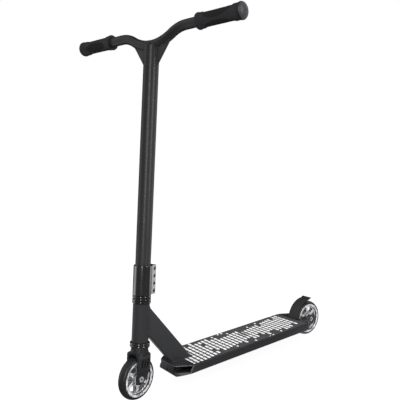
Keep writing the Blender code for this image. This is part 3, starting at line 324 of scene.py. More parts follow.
class Value:
    """An output socket that Python's operators turn into Math nodes."""

    def __init__(self, nodes, socket):
        self.nodes = nodes
        self.socket = socket

    def out(self, name):
        """Another output of the same node."""
        return Value(self.nodes, self.socket.node.outputs[name])

    def math(self, operation, *others):
        """A Math node on this value and up to two more."""
        return self.nodes.math(operation, self, *others)

    def __rsub__(self, other):
        return self.nodes.math("SUBTRACT", other, self)

    __add__ = __radd__ = partialmethod(math, "ADD")
    __sub__ = partialmethod(math, "SUBTRACT")
    __mul__ = __rmul__ = partialmethod(math, "MULTIPLY")
    __truediv__ = partialmethod(math, "DIVIDE")
    __lt__ = partialmethod(math, "LESS_THAN")
    __gt__ = partialmethod(math, "GREATER_THAN")


class Finish(Nodes):
    """A material under way, with its pattern fixed to the object."""

    def __init__(self, name):
        self.material = bpy.data.materials.new(name)
        self.material.use_nodes = True
        super().__init__(self.material.node_tree)
        self.shader = self.tree.nodes["Principled BSDF"]
        self.place = self.node("ShaderNodeTexCoord", output="Object")

    def noise(self, scale, detail=2.0, rough=0.5, place=None, **more):
        """Noise whose blotches are about 1 / scale metres wide."""
        sockets = {"Vector": place or self.place, "Scale": scale, "Detail": detail}
        return self.node("ShaderNodeTexNoise", {**sockets, "Roughness": rough, **more})

    def drawn_out(self, scale, detail):
        """Noise with a scale of its own along each axis."""
        place = self.node("ShaderNodeMapping", {"Vector": self.place, "Scale": scale})
        return self.noise(1.0, detail, place=place)

    def cells(self, scale):
        """Distance to the middle of the nearest of many small cells."""
        return self.node("ShaderNodeTexVoronoi", {"Vector": self.place, "Scale": scale})

    def mix(self, share, first, second):
        """One colour turning into another."""
        pair = [c if isinstance(c, Value) else (*c, 1) for c in (first, second)]
        return self.node(
            "ShaderNodeMix", {0: share, 6: pair[0], 7: pair[1]}, 2, data_type="RGBA")

    def relief(self, height, depth, strength=1.0, **more):
        """A bump of a real depth in metres."""
        return self.node(
            "ShaderNodeBump", {"Height": height, "Distance": depth, "Strength": strength, **more})

    def edges(self):
        """1 along outer edges, 0 on flat ground."""
        return self.between(self.node("ShaderNodeNewGeometry", output="Pointiness"), 0.51, 0.60)

    def done(self, **sockets):
        """Feeds the shader and gives the material back."""
        for key, value in sockets.items():
            if key == "Base_Color" and not isinstance(value, Value):
                value = (*value, 1)
            self.feed(self.shader.inputs[key.replace("_", " ")], value)
        return self.material


def shade(colour, share):
    """A darker or a lighter colour."""
    return [min(1.0, share * c) for c in colour]


def powder_coat(name, colour, lighter, roughness, edge_wear_and_highlight=0.2, gloss=0.22):
    """Satin powder coat: faint orange peel, soft cloudiness, edges painted lighter as rubbed wear
    and a painted highlight.
    """
    finish = Finish(name)
    clouds = finish.noise(22.0, 3.0)
    grain = finish.noise(2600.0, 1.0)
    base = finish.mix(clouds, colour, lighter)
    # Edges painted lighter: partly rubbed wear, partly a painted highlight along the edges.
    base = finish.mix(finish.edges() * edge_wear_and_highlight, base, (0.11, 0.11, 0.115))
    peel = finish.relief(finish.noise(900.0, 2.0), 0.00004, 0.8)
    return finish.done(
        Base_Color=base, Roughness=roughness - 0.05 + clouds * 0.07 + grain * 0.05,
        Normal=finish.relief(grain, 0.00001, 0.6, Normal=peel), Specular_IOR_Level=gloss)


def gloss_anodised(name, colour, roughness):
    """Turned and anodised: fine rings from the lathe under a glossy black."""
    finish = Finish(name)
    rings = finish.drawn_out((40.0, 40.0, 5200.0), 2.0)
    smears = finish.noise(60.0, 3.0)
    # Edges painted lighter: a painted highlight along the edges of the gloss.
    base = finish.mix(finish.edges() * 0.3, colour, (0.12, 0.12, 0.125))
    return finish.done(
        Base_Color=base, Roughness=roughness + smears * 0.08,
        Normal=finish.relief(rings, 0.00001, 0.3), Coat_Weight=1.0, Coat_Roughness=0.05)


def dark_chrome(name, colour, roughness):
    """Polished dark chrome: clear reflections, hairline polish marks and faint finger smears."""
    finish = Finish(name)
    hair = finish.drawn_out((900.0, 900.0, 60.0), 3.0)
    smears = finish.noise(90.0, 4.0, 0.6)
    return finish.done(
        Base_Color=finish.mix(smears, colour, shade(colour, 1.25)), Metallic=1.0,
        Roughness=roughness + smears * 0.07 + hair * 0.04,
        Normal=finish.relief(hair, 0.000006, 0.5))


def machined_steel(name, colour, roughness, metallic=1.0):
    """Turned steel: short cutting marks, small stains and edges painted brighter, partly worn metal
    and partly a painted highlight.
    """
    finish = Finish(name)
    marks = finish.noise(1500.0, 3.0, 0.6)
    stain = finish.noise(240.0, 4.0, 0.6)
    base = finish.mix(stain, shade(colour, 0.8), shade(colour, 1.15))
    # Edges painted brighter: partly worn metal, partly a painted highlight.
    base = finish.mix(finish.edges() * 0.35, base, [min(0.8, c + 0.25) for c in colour])
    return finish.done(
        Base_Color=base, Metallic=metallic, Roughness=roughness + stain * 0.1 + marks * 0.06,
        Normal=finish.relief(marks, 0.00001, 0.6))


def speckled_silver(name, grey, white, black):
    """Silver wheel core: marbled clouds from grey to white noise levels, blots above black."""
    finish = Finish(name)
    marble = finish.between(finish.noise(115.0, 4.0, 0.62, Distortion=0.8), grey, white)
    silver = finish.mix(marble, (0.26, 0.26, 0.27), (0.93, 0.93, 0.96))
    blots = finish.between(finish.noise(330.0, 4.0, 0.66, Distortion=0.6), black, black + 0.03)
    dark = blots.math("MAXIMUM", finish.between(finish.cells(900.0), 0.25, 0.20) * 0.75)
    return finish.done(
        Base_Color=finish.mix(dark, silver, (0.018, 0.018, 0.020)), Metallic=0.12,
        Roughness=finish.between(marble, 0, 1, 0.36, 0.26),
        Normal=finish.relief(dark, 0.00003, 0.5), Coat_Weight=0.5, Coat_Roughness=0.1)


def cast_urethane(name, colour, roughness):
    """Cast tyre: soft sheen, faint flow lines and a fine grain."""
    finish = Finish(name)
    flow = finish.noise(50.0, 4.0, 0.55, Distortion=0.5)
    grain = finish.noise(1700.0, 2.0)
    return finish.done(
        Base_Color=finish.mix(flow, colour, shade(colour, 1.5)),
        Roughness=roughness + flow * 0.10 + grain * 0.04,
        Normal=finish.relief(grain, 0.00003, 0.7), Specular_IOR_Level=0.5)


def grip_rubber(name, collar, pad):
    """Moulded rubber: matte pads that are darker than the collars, with a leathery grain."""
    finish = Finish(name)
    in_pad = finish.node("ShaderNodeAttribute", output="Fac", attribute_name="pad")
    cloud = finish.noise(80.0, 3.0)
    base = finish.mix(in_pad, finish.mix(cloud, collar, shade(collar, 1.3)), pad)
    return finish.done(
        Base_Color=base, Roughness=finish.between(in_pad, 0, 1, 0.52, 0.74) + cloud * 0.06,
        Normal=finish.relief(finish.cells(1500.0), 0.00007, 0.7), Specular_IOR_Level=0.3)


def moulded_plastic(name, colour):
    """Moulded plastic: a satin spark-eroded face."""
    finish = Finish(name)
    cloud = finish.noise(120.0, 3.0)
    return finish.done(
        Base_Color=finish.mix(cloud, shade(colour, 0.85), shade(colour, 1.15)),
        Roughness=0.40 + cloud * 0.1,
        Normal=finish.relief(finish.noise(2100.0, 2.0), 0.00004, 0.6))


def grit(name, colour, glint, bare):
    """Grip tape or the print on it: coarse mineral grain with painted glints, worn to a bare tone.
    """
    finish = Finish(name)
    sparkle = finish.between(finish.noise(2400.0, 1.0), 0.62, 0.70)
    worn = finish.between(finish.noise(700.0, 3.0, 0.7), 0.64, 0.72)
    base = finish.mix(finish.noise(35.0, 3.0), shade(colour, 0.85), shade(colour, 1.15))
    # The sparkle specks are painted glints: grain colour lifted where light would catch the grains.
    base = finish.mix(sparkle * 0.5, base, (glint,) * 3)
    return finish.done(
        Base_Color=finish.mix(worn * 0.5, base, (bare,) * 3), Roughness=0.9 - sparkle * 0.35,
        Normal=finish.relief(finish.cells(1500.0), 0.00025, 0.7))


FRAME_BLACK = powder_coat(
    "satin_frame_black", (0.0125, 0.013, 0.0145), (0.0175, 0.018, 0.0200), 0.42)
DECK_BLACK = powder_coat(
    "gloss_deck_black", (0.0055, 0.006, 0.0075), (0.0085, 0.009, 0.0110), 0.30, 0.5, 0.35)
BAR_BLACK = powder_coat(
    "satin_bar_black", (0.0125, 0.0125, 0.0137), (0.0168, 0.0168, 0.0180), 0.34, 0.2, 0.32)
FORK_BLACK = powder_coat(
    "satin_fork_black", (0.0145, 0.0155, 0.0168), (0.0195, 0.0205, 0.0220), 0.42, 0.1, 0.26)
# Weld beads are painted lighter than the tubes' own coat: a painted highlight on the beads.
WELD_BLACK_PAINTED_HIGHLIGHT = powder_coat(
    "coated_weld_black", (0.022, 0.022, 0.023), (0.03, 0.03, 0.031), 0.32, 0.1, 0.4)
FENDER_BLACK = powder_coat(
    "satin_fender_black", (0.017, 0.0172, 0.0182), (0.023, 0.0232, 0.0245), 0.42)
# Near-black for the wheel core's rim step: painted shade on the inward-facing step.
CORE_STEP_PAINTED_SHADE = powder_coat(
    "core_step_black", (0.010, 0.010, 0.011), (0.016, 0.016, 0.017), 0.40)
HEADSET_BLACK = gloss_anodised("gloss_headset_black", (0.008, 0.008, 0.009), 0.10)
CLAMP_CHROME = dark_chrome("polished_clamp_chrome", (0.24, 0.24, 0.25), 0.09)
# A lighter satin steel for the clamp's ears: a painted reflection on the polished collar.
EAR_PAINTED_REFLECTION = machined_steel("satin_ear_steel", (0.40, 0.40, 0.41), 0.42, 0.30)
BOLT_STEEL = machined_steel("zinc_bolt_steel", (0.42, 0.42, 0.43), 0.30, 0.45)
BLACK_OXIDE = machined_steel("black_oxide_steel", (0.035, 0.035, 0.038), 0.34, 0.85)
BRIGHT_STEEL = machined_steel("bright_machined_steel", (0.50, 0.50, 0.51), 0.22)
# Near-black used as painted shade: the gap round the plugs' rims and the walls of the fork's slots.
PAINTED_SHADE_BLACK = moulded_plastic("plug_rim_black", (0.006, 0.006, 0.007))
SHIELD_BLACK = moulded_plastic("bearing_shield_black", (0.020, 0.020, 0.022))
PLUG_GREY = moulded_plastic("satin_plug_grey", (0.036, 0.036, 0.041))
CORE_SILVER = speckled_silver("speckled_core_silver", 0.36, 0.62, 0.585)
# A darker copy of the core's silver for its walls: painted shade in the windows.
CORE_WALL_PAINTED_SHADE = speckled_silver("speckled_wall_silver", 0.50, 0.78, 0.50)
TYRE_BLACK = cast_urethane("cast_tyre_black", (0.0095, 0.010, 0.0112), 0.34)
GRIP_BLACK = grip_rubber(
    "moulded_grip_black", (0.0125, 0.0125, 0.0145), (0.0075, 0.0075, 0.0090))
TAPE_GRIT = grit("grip_tape_grit", (0.046, 0.0465, 0.050), 0.30, 0.012)
TAPE_PRINT = grit("tape_print_white", (0.95, 0.95, 0.95), 1.0, 0.55)


def added(name, data):
    """A new object in the scene."""
    made = bpy.data.objects.new(name, data)
    bpy.context.collection.objects.link(made)
    return made


def opened(mesh):
    """A mesh for editing; the mesh itself is used up."""
    bm = bmesh.new()
    bm.from_mesh(mesh)
    bpy.data.meshes.remove(mesh)
    return bm


def saved(bm):
    """An edited mesh as it is."""
    mesh = bpy.data.meshes.new("shape")
    bm.to_mesh(mesh)
    bm.free()
    return mesh


def closed(bm):
    """An edited mesh with doubled points merged and its faces outward."""
    bmesh.ops.remove_doubles(bm, verts=bm.verts, dist=MERGE)
    bmesh.ops.dissolve_degenerate(bm, edges=bm.edges, dist=MERGE)
    bmesh.ops.recalc_face_normals(bm, faces=bm.faces)
    return saved(bm)


def together(meshes):
    """Several bodies in one mesh; what went in is used up."""
    bm = bmesh.new()
    for mesh in meshes:
        bm.from_mesh(mesh)
        bpy.data.meshes.remove(mesh)
    return saved(bm)


def turned(outline, sides=FINE):
    """A body turned about Z from a closed run of (radius, height) points."""
    bm = bmesh.new()
    points = [bm.verts.new((radius, 0, height)) for radius, height in outline]
    edges = [bm.edges.new(pair) for pair in zip(points, points[1:])]
    if outline[0][0] > 0:
        edges.append(bm.edges.new((points[-1], points[0])))
    bmesh.ops.spin(
        bm, geom=points + edges, cent=(0, 0, 0), axis=(0, 0, 1),
        angle=math.tau, steps=sides, use_merge=True)
    return closed(bm)


def slab(outline, low, high, along):
    """An outline in the other two axes, drawn out along one axis."""
    spread = {
        "X": lambda u, v, w: (w, u, v),
        "Y": lambda u, v, w: (u, w, v),
        "Z": lambda u, v, w: (u, v, w),
    }[along]
    bm = bmesh.new()
    face = bm.faces.new([bm.verts.new(spread(u, v, low)) for u, v in outline])
    grown = bmesh.ops.extrude_face_region(bm, geom=[face])["geom"]
    moved = [item for item in grown if isinstance(item, bmesh.types.BMVert)]
    bmesh.ops.translate(bm, verts=moved, vec=Vector(spread(0, 0, high - low)))
    return closed(bm)


def between_plans(lower, low, upper, high):
    """A body between two plans of as many points, at two heights."""
    bm = bmesh.new()
    below = [bm.verts.new((x, y, low)) for x, y in lower]
    above = [bm.verts.new((x, y, high)) for x, y in upper]
    bm.faces.new(below[::-1])
    bm.faces.new(above)
    for k in range(len(below)):
        j = (k + 1) % len(below)
        wall = bm.faces.new((below[k], below[j], above[j], above[k]))
        if (lower[k], lower[j]) != (upper[k], upper[j]):
            bmesh.ops.triangulate(bm, faces=[wall])
    return closed(bm)


def arc(centre, radius, start, end, steps, rise=None):
    """Points on an arc, ends included; a rise of its own makes it elliptical."""
    angles = [start + (end - start) * k / steps for k in range(steps + 1)]
    rise = rise or radius
    return [(centre[0] + radius * math.cos(a), centre[1] + rise * math.sin(a)) for a in angles]


def mirrored(half, across=-1, up=1):
    """Half an outline, then its mirror image back again."""
    return half + [(across * x, up * y) for x, y in reversed(half)]


def rectangle(left, bottom, right, top):
    """The outline of a rectangle."""
    return [(left, bottom), (right, bottom), (right, top), (left, top)]


def rounded_box(width, depth, radius, steps=5):
    """Outline of a rectangle with round corners about its middle."""
    points = []
    for quarter, (sx, sy) in enumerate(((1, 1), (-1, 1), (-1, -1), (1, -1))):
        middle = (sx * (width / 2 - radius), sy * (depth / 2 - radius))
        start = quarter * QUARTER
        points += arc(middle, radius, start, start + QUARTER, steps)
    return points


def sleeve(bore, radius, low, high, cut, sides=FINE):
    """A turned tube whose outer edges are cut off a little."""
    return turned([
        (bore, low), (radius - cut, low), (radius, low + cut), (radius, high - cut),
        (radius - cut, high), (bore, high)], sides)


def rod(start, end, radius, sides=SMALL):
    """A round bar between two points."""
    start = Vector(start)
    way = Vector(end) - start
    mesh = turned([(0, 0), (radius, 0), (radius, way.length), (0, way.length)], sides)
    turn = Vector((0, 0, 1)).rotation_difference(way).to_matrix().to_4x4()
    mesh.transform(Matrix.Translation(start) @ turn)
    return mesh


def result_of(mesh, change):
    """The plain mesh that one modifier makes of a mesh."""
    blank = added("blank", mesh)
    change(blank)
    bpy.context.view_layer.update()
    seen = blank.evaluated_get(bpy.context.evaluated_depsgraph_get())
    made = bpy.data.meshes.new_from_object(seen)
    bpy.data.objects.remove(blank)
    bpy.data.meshes.remove(mesh)
    return made


def carved(mesh, *others, operation="DIFFERENCE"):
    """A body cut, met or joined by one body after another; they are used up."""
    for other in others:
        guide = added("guide", other)

        def change(blank):
            step = blank.modifiers.new("cut", "BOOLEAN")
            step.operation = operation
            step.solver = "EXACT"
            step.object = guide

        made = result_of(mesh, change)
        bpy.data.objects.remove(guide)
        bpy.data.meshes.remove(other)
        bm = opened(made)
        bmesh.ops.dissolve_limit(
            bm, angle_limit=math.radians(0.3), verts=bm.verts, edges=bm.edges)
        mesh = closed(bm)
    return mesh


def piece(name, mesh, place, finish, body, edge=0.0):
    """A finished piece: its mesh goes to its place and its edges are rounded."""
    mesh.transform(place)
    mesh.materials.clear()
    mesh.materials.append(finish)
    mesh.shade_smooth()
    made = added(name, mesh)
    if edge:
        rounding = made.modifiers.new("edges", "BEVEL")
        rounding.width = edge
        rounding.segments = 2
        rounding.limit_method = "ANGLE"
        rounding.angle_limit = EDGE_ANGLE
        rounding.use_clamp_overlap = False
        even = made.modifiers.new("shading", "WEIGHTED_NORMAL")
        even.weight = 80
        even.keep_sharp = False
    else:
        mesh.set_sharp_from_angle(angle=EDGE_ANGLE)
    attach(made, body)
    return made


def stand_in(node, look, mesh, place, finish, body, slot, edge=0.0):
    """The finished piece that takes a CAD node's place."""
    made = piece("{}_{}".format(node, look), mesh, place, finish, body, edge)
    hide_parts(node)
    return made


def keep_sharp(made, test):
    """Rounds only the edges of a piece whose two ends pass a test."""
    bm = bmesh.new()
    bm.from_mesh(made.data)
    weight = bm.edges.layers.float.new("bevel_weight_edge")
    for edge in bm.edges:
        if edge.calc_face_angle(0) > EDGE_ANGLE and all(test(end.co) for end in edge.verts):
            edge[weight] = 1.0
    bm.to_mesh(made.data)
    bm.free()
    made.modifiers["edges"].limit_method = "WEIGHT"


def paint(made, finish, test):
    """Gives a second finish to the faces whose middle and normal pass a test."""
    made.data.materials.append(finish)
    slot = len(made.data.materials) - 1
    for face in made.data.polygons:
        if test(face.center, face.normal):
            face.material_index = slot


def off_line(point, middle, along):
    """How far a point is from a line."""
    out = point - middle
    return (out - along * out.dot(along)).length


class Growth(Nodes):
    """A geometry tree with named inputs; it ends in real, coated faces."""

    def __init__(self, name, inputs):
        super().__init__(bpy.data.node_groups.new(name, "GeometryNodeTree"))
        face = self.tree.interface
        for label, kind in {"Geometry": "Geometry", **inputs, "Finish": "Material"}.items():
            face.new_socket(label, in_out="INPUT", socket_type="NodeSocket" + kind)
        face.new_socket("Geometry", in_out="OUTPUT", socket_type="NodeSocketGeometry")
        self.given = self.node("NodeGroupInput")

    def random(self, low, high, seed):
        """A number drawn for each element."""
        return self.node(
            "FunctionNodeRandomValue", {2: low, 3: high, "Seed": seed}, 1, data_type="FLOAT")

    def spread(self, points, instance, **more):
        """An instance at each point."""
        return self.node(
            "GeometryNodeInstanceOnPoints", {"Points": points, "Instance": instance, **more})

    def end(self, geometry):
        """Makes instances real, gives them their finish and closes the tree."""
        real = self.node("GeometryNodeRealizeInstances", {0: geometry})
        smooth = self.node("GeometryNodeSetShadeSmooth", {0: real})
        coated = self.node(
            "GeometryNodeSetMaterial", {0: smooth, "Material": self.given.out("Finish")})
        self.feed(self.tree.nodes.new("NodeGroupOutput").inputs[0], coated)
        return self

    def grown(self, mesh, values):
        """What the tree makes of a mesh or of a path, as a plain mesh."""

        def change(blank):
            step = blank.modifiers.new("growth", "NODES")
            step.node_group = self.tree
            for item in self.tree.interface.items_tree:
                if item.name in values:
                    step[item.identifier] = values[item.name]

        return result_of(mesh, change)


def path_mesh(*runs):
    """Strings of points as bare edges; a run whose ends meet is closed."""
    bm = bmesh.new()
    strings = [[bm.verts.new(point) for point in run] for run in runs]
    for points in strings:
        for pair in zip(points, points[1:]):
            bm.edges.new(pair)
    bmesh.ops.remove_doubles(bm, verts=bm.verts, dist=MERGE)
    return saved(bm)


def bent_tube_growth():
    """Geometry tree: a round bar that follows a path."""
    growth = Growth("bent_tube", {"Radius": "Float", "Sides": "Int"})
    path = growth.node("GeometryNodeMeshToCurve", {0: growth.given})
    ring = growth.node("GeometryNodeCurvePrimitiveCircle", {
        "Resolution": growth.given.out("Sides"), "Radius": growth.given.out("Radius")})
    return growth.end(growth.node(
        "GeometryNodeCurveToMesh", {"Curve": path, "Profile Curve": ring, "Fill Caps": True}))


def weld_growth():
    """Geometry tree: a bead of overlapping ripples along a path, with a little unevenness."""
    growth = Growth("weld_bead", {"Pitch": "Float", "Width": "Float", "Seed": "Int"})
    given = growth.given.out
    path = growth.node("GeometryNodeMeshToCurve", {0: growth.given})
    spaced = growth.node(
        "GeometryNodeResampleCurve", {"Curve": path, "Length": given("Pitch")}, mode="LENGTH")
    ripple = growth.node(
        "GeometryNodeMeshUVSphere", {"Segments": 12, "Rings": 8, "Radius": 1.0})
    turn = growth.node(
        "FunctionNodeAlignRotationToVector",
        {"Vector": growth.node("GeometryNodeInputTangent")}, axis="X")
    half = given("Width") * growth.random(0.90, 1.10, given("Seed")) / 2
    scale = growth.node("ShaderNodeCombineXYZ", {0: given("Pitch") * 0.95, 1: half, 2: half})
    return growth.end(growth.spread(spaced, ripple, Rotation=turn, Scale=scale))


def print_growth():
    """Geometry tree: rows of rounded dashes over a strip, waisted, ragged and with a few gaps."""
    growth = Growth("printed_dashes", {
        "Length": "Float", "Width": "Float", "Row Pitch": "Float", "Column Pitch": "Float",
        "Row Shift": "Float", "Dash": "Float", "Thickness": "Float", "Seed": "Int"})
    given = growth.given.out
    row_pitch, pitch, dash = given("Row Pitch"), given("Column Pitch"), given("Dash")
    rows = (given("Length") / row_pitch).math("FLOOR")
    columns = (given("Width") / pitch).math("CEIL") + 1
    grid = growth.node("GeometryNodeMeshGrid", {
        "Size X": (columns - 1) * pitch, "Size Y": (rows - 1) * row_pitch,
        "Vertices X": columns, "Vertices Y": rows})
    along = growth.node("ShaderNodeSeparateXYZ", {0: growth.node("GeometryNodeInputPosition")})
    row = (along.out("Y") / row_pitch).math("ROUND")
    shift = (row * given("Row Shift")).math("FLOORED_MODULO", pitch) - pitch / 2
    moved = growth.node("GeometryNodeSetPosition", {
        "Geometry": grid, "Offset": growth.node("ShaderNodeCombineXYZ", {0: shift})})

    def random(low, high, skip):
        return growth.random(low, high, given("Seed") + skip)

    def rise(start, end):
        share = (ahead - start) / (end - start)
        return share.math("MAXIMUM", 0.0).math("MINIMUM", 1.0)

    # Outline of the print: shares of the half width by how far back a row lies
    share = (along.out("X") + shift) / (given("Width") / 2)
    ahead = along.out("Y") / given("Length") + 0.5
    near = 1.0 - 0.37 * rise(0.12, 0.45) + 0.05 * rise(0.72, 0.95)
    far = 0.95 - 0.40 * rise(0.18, 0.36) + 0.26 * rise(0.66, 0.98)
    ragged = random(-0.06, 0.06, 3)
    inside = (share < near + ragged) * (share > ragged - far)
    thin = ((ahead - 0.555).math("ABSOLUTE") < 0.034) * ((share + 0.03).math("ABSOLUTE") < 0.34)
    draw = random(0.0, 1.0, 0)
    aside = share.math("ABSOLUTE")
    loose = (draw < 0.17) * (aside < 0.98) * (aside > 0.68)
    full = inside * (draw < 0.955)

    # One dash, with a face under it, and its smaller kinds
    outline = growth.node(
        "GeometryNodeCurvePrimitiveQuadrilateral",
        {"Width": pitch * 0.87, "Height": dash, "Offset": dash * -0.2}, mode="PARALLELOGRAM")
    rounded = growth.node(
        "GeometryNodeFilletCurve", {"Curve": outline, "Count": 4, "Radius": dash * 0.3},
        mode="POLY")
    flat = growth.node("GeometryNodeFillCurve", {"Curve": rounded}, mode="NGONS")
    whole = growth.node("GeometryNodeJoinGeometry", {0: growth.node(
        "GeometryNodeExtrudeMesh", {"Mesh": flat, "Offset Scale": given("Thickness")})})
    under = growth.node("GeometryNodeFlipFaces", {"Mesh": flat})
    growth.feed(whole.socket.node.inputs[0], under)
    scale = growth.node("ShaderNodeCombineXYZ", {
        0: full + (1 - full) * random(0.45, 0.6, 5),
        1: (full + (1 - full) * 0.8) * (1 - 0.55 * thin), 2: 1.0})
    return growth.end(
        growth.spread(moved, whole, Selection=full.math("MAXIMUM", loose), Scale=scale))


BENT_TUBE = bent_tube_growth()
WELD_BEAD = weld_growth()
DASHES = print_growth()


def hexagon(width, low, high):
    """A six-sided bar about Z, by its width across flats."""
    corner = width / 2 / math.cos(math.pi / 6)
    turns = [k * math.pi / 3 for k in range(6)]
    return slab([(corner * math.cos(t), corner * math.sin(t)) for t in turns], low, high, "Z")


def socket_bolt(radius, height, shank, length, key):
    """A cap bolt: its head above Z = 0 with a hex socket, its shank below."""
    body = turned([
        (0, -length), (0.85 * shank, -length), (shank, 0.0007 - length), (shank, 0), (radius, 0),
        (radius, height - 0.0005), (radius - 0.0005, height), (1.25 * key, height),
        (1.15 * key, height - 0.0003), (0, height - 0.0003)], SMALL)
    return carved(body, hexagon(2 * key, height - 0.65 * height, height + SPREAD))


def paint_socket_shade(bolt, middle, along, radius):
    """Paints the faces inside a bolt's hex socket black oxide, as painted shade in the socket."""
    top = max(corner.co.dot(along) for corner in bolt.data.vertices) - 0.0001

    def inside(centre, normal):
        sunk = centre.dot(along) < top and (centre - middle).dot(along) > 0
        return sunk and off_line(centre, middle, along) < radius

    paint(bolt, BLACK_OXIDE, inside)


def turn_to_x(place):
    """Stands a turned body's Z along X at a place."""
    return Matrix.Translation(Vector(place)) @ Matrix.Rotation(QUARTER, 4, "Y")


def axle_pockets(outside, seat, place):
    """The bore for an axle between the two pockets in the outer faces."""
    bore = AXLE_RADIUS + GAP
    half = [(0, -2 * outside), (AXLE_POCKET_RADIUS, -2 * outside), (AXLE_POCKET_RADIUS, -seat),
            (bore, -seat)]
    mesh = turned(mirrored(half, 1, -1), SMALL)
    mesh.transform(turn_to_x(place))
    return mesh


def make_wheel(prefix, body, axle):
    """Tyre, speckled core and two shielded bearings about the axle."""
    crown = arc(
        (TYRE_SEAT, 0), TYRE_RADIUS - TYRE_SEAT, QUARTER, -QUARTER, 28, TYRE_SIDE)
    tyre = turned([(TYRE_SEAT, -TYRE_BEAD), (TYRE_SEAT, TYRE_BEAD)] + crown, WHEEL_ROUND)
    stand_in(prefix + "_tyre", "cast", tyre, axle, TYRE_BLACK, body, "tyre")
    foot = TYRE_RADIUS - 0.0002
    seam = turned([(foot, -0.00035), (TYRE_RADIUS, 0), (foot, 0.00035)], WHEEL_ROUND)
    piece(prefix + "_tyre_seam", seam, axle, TYRE_BLACK, body)

    seat = BEARING_RADIUS + GAP
    shoulder = HUB_SIDE - BEARING_WIDTH - GAP
    core = turned(mirrored([
        (seat - 0.0022, shoulder), (seat, shoulder), (seat, HUB_SIDE - 0.0004),
        (seat + 0.0004, HUB_SIDE), (HUB_RADIUS - 0.0008, HUB_SIDE), (HUB_RADIUS, HUB_SIDE - 0.0008),
        (HUB_RADIUS + 0.0012, WEB_SIDE + 0.0008), (HUB_RADIUS + 0.0028, WEB_SIDE),
        (RIM_INSIDE - 0.0022, WEB_SIDE), (RIM_INSIDE, WEB_SIDE + 0.0020),
        (RIM_INSIDE + 0.0008, CORE_SIDE - 0.0006), (RIM_INSIDE + 0.0016, CORE_SIDE),
        (CORE_RADIUS - 0.0004, CORE_SIDE), (CORE_RADIUS, CORE_SIDE - 0.0004)], 1, -1), WHEEL_ROUND)
    windows = []
    inner = HUB_RADIUS + 0.0022
    outer = RIM_INSIDE - 0.0022
    far, near = (math.pi / SPOKES - SPOKE_WIDTH / 2 / radius for radius in (outer, inner))
    for k in range(SPOKES):
        middle = math.tau * (k + 0.5) / SPOKES
        window = arc((0, 0), outer, middle - far, middle + far, 14)
        window += arc((0, 0), inner, middle + near, middle - near, 8)
        windows.append(slab(window, -HUB_SIDE, HUB_SIDE, "Z"))
    core = carved(core, together(windows))
    core = stand_in(
        prefix + "_wheel_core", "speckled", core, axle, CORE_SILVER, body, "wheel_core")
    centre, along = axle.translation, axle.col[2].to_3d()
    step = RIM_INSIDE - 0.0014

    def in_wall(middle, normal):
        return abs(normal.dot(along)) < 0.5 and off_line(middle, centre, along) < step

    def in_step(middle, normal):
        return abs(normal.dot(along)) < 0.6 and off_line(middle, centre, along) >= step

    # The walls of the windows and hub get the darker silver as painted shade.
    paint(core, CORE_WALL_PAINTED_SHADE, in_wall)
    # The step between rim and web gets painted shade.
    paint(core, CORE_STEP_PAINTED_SHADE, in_step)

    bore = AXLE_RADIUS + GAP
    inner, outer = bore + RACE, BEARING_RADIUS - RACE
    low, brim, sunk = HUB_SIDE - BEARING_WIDTH, HUB_SIDE - 0.0003, HUB_SIDE - 0.0006
    bulge = HUB_SIDE - 0.0001
    ring = (
        (bore, low), (BEARING_RADIUS, low), (BEARING_RADIUS, brim),
        (BEARING_RADIUS - 0.0003, HUB_SIDE), (outer, HUB_SIDE), (outer, sunk), (inner, sunk),
        (inner, HUB_SIDE), (bore, HUB_SIDE))
    shield = (
        (inner + GAP, sunk), (outer - GAP, sunk), (outer - GAP, brim),
        (BEARING_RADIUS - 0.0030, bulge), (inner + 0.0010, bulge), (inner + GAP, brim))
    for side, sign in SIDES:
        name = "{}_bearing_{}".format(prefix, side)
        races, cover = (
            turned([(r, sign * h) for r, h in outline], ROUND) for outline in (ring, shield))
        stand_in(name, "races", races, axle, BRIGHT_STEEL, body, "steel")
        piece(name + "_shield", cover, axle, SHIELD_BLACK, body)


def make_axle(prefix, body, axle, seat):
    """Axle bolt with its head in the near pocket, nut in the far one, and two washers."""
    bore = AXLE_RADIUS + GAP
    length = 2 * seat + 3 * GAP + NUT_HEIGHT + 0.0012
    bolt = socket_bolt(AXLE_HEAD_RADIUS, AXLE_HEAD_HEIGHT, AXLE_RADIUS, length, AXLE_KEY)
    bolt.transform(Matrix.Translation((0, 0, seat + GAP)))
    bolt = stand_in(prefix + "_axle_bolt", "turned", bolt, axle, BOLT_STEEL, body, "steel")
    paint_socket_shade(bolt, axle.translation, axle.col[2].to_3d(), AXLE_KEY + GAP)

    top = -seat - GAP
    foot = top - NUT_HEIGHT
    flat = NUT_WIDTH / 2 - 0.0002
    corner = NUT_WIDTH / 2 / math.cos(math.pi / 6) + GAP
    cone = turned([
        (0, foot), (flat, foot), (corner, foot + 0.0006), (corner, top - 0.0006), (flat, top),
        (0, top)], ROUND)
    nut = carved(hexagon(NUT_WIDTH, foot, top), cone, operation="INTERSECT")
    nut = carved(nut, rod((0, 0, foot - SPREAD), (0, 0, top + SPREAD), bore))
    nut.transform(Matrix.Rotation(math.pi / 6, 4, "Z"))
    stand_in(prefix + "_axle_nut", "turned", nut, axle, BLACK_OXIDE, body, "black_steel")

    near = HUB_SIDE + GAP
    far = WHEEL_SLOT / 2 - GAP
    for side, low, high in (("left", near, far), ("right", -far, -near)):
        washer = sleeve(bore, WASHER_RADIUS, low, high, 0.0002, SMALL)
        name = "{}_axle_washer_{}".format(prefix, side)
        stand_in(name, "turned", washer, axle, BRIGHT_STEEL, body, "steel")


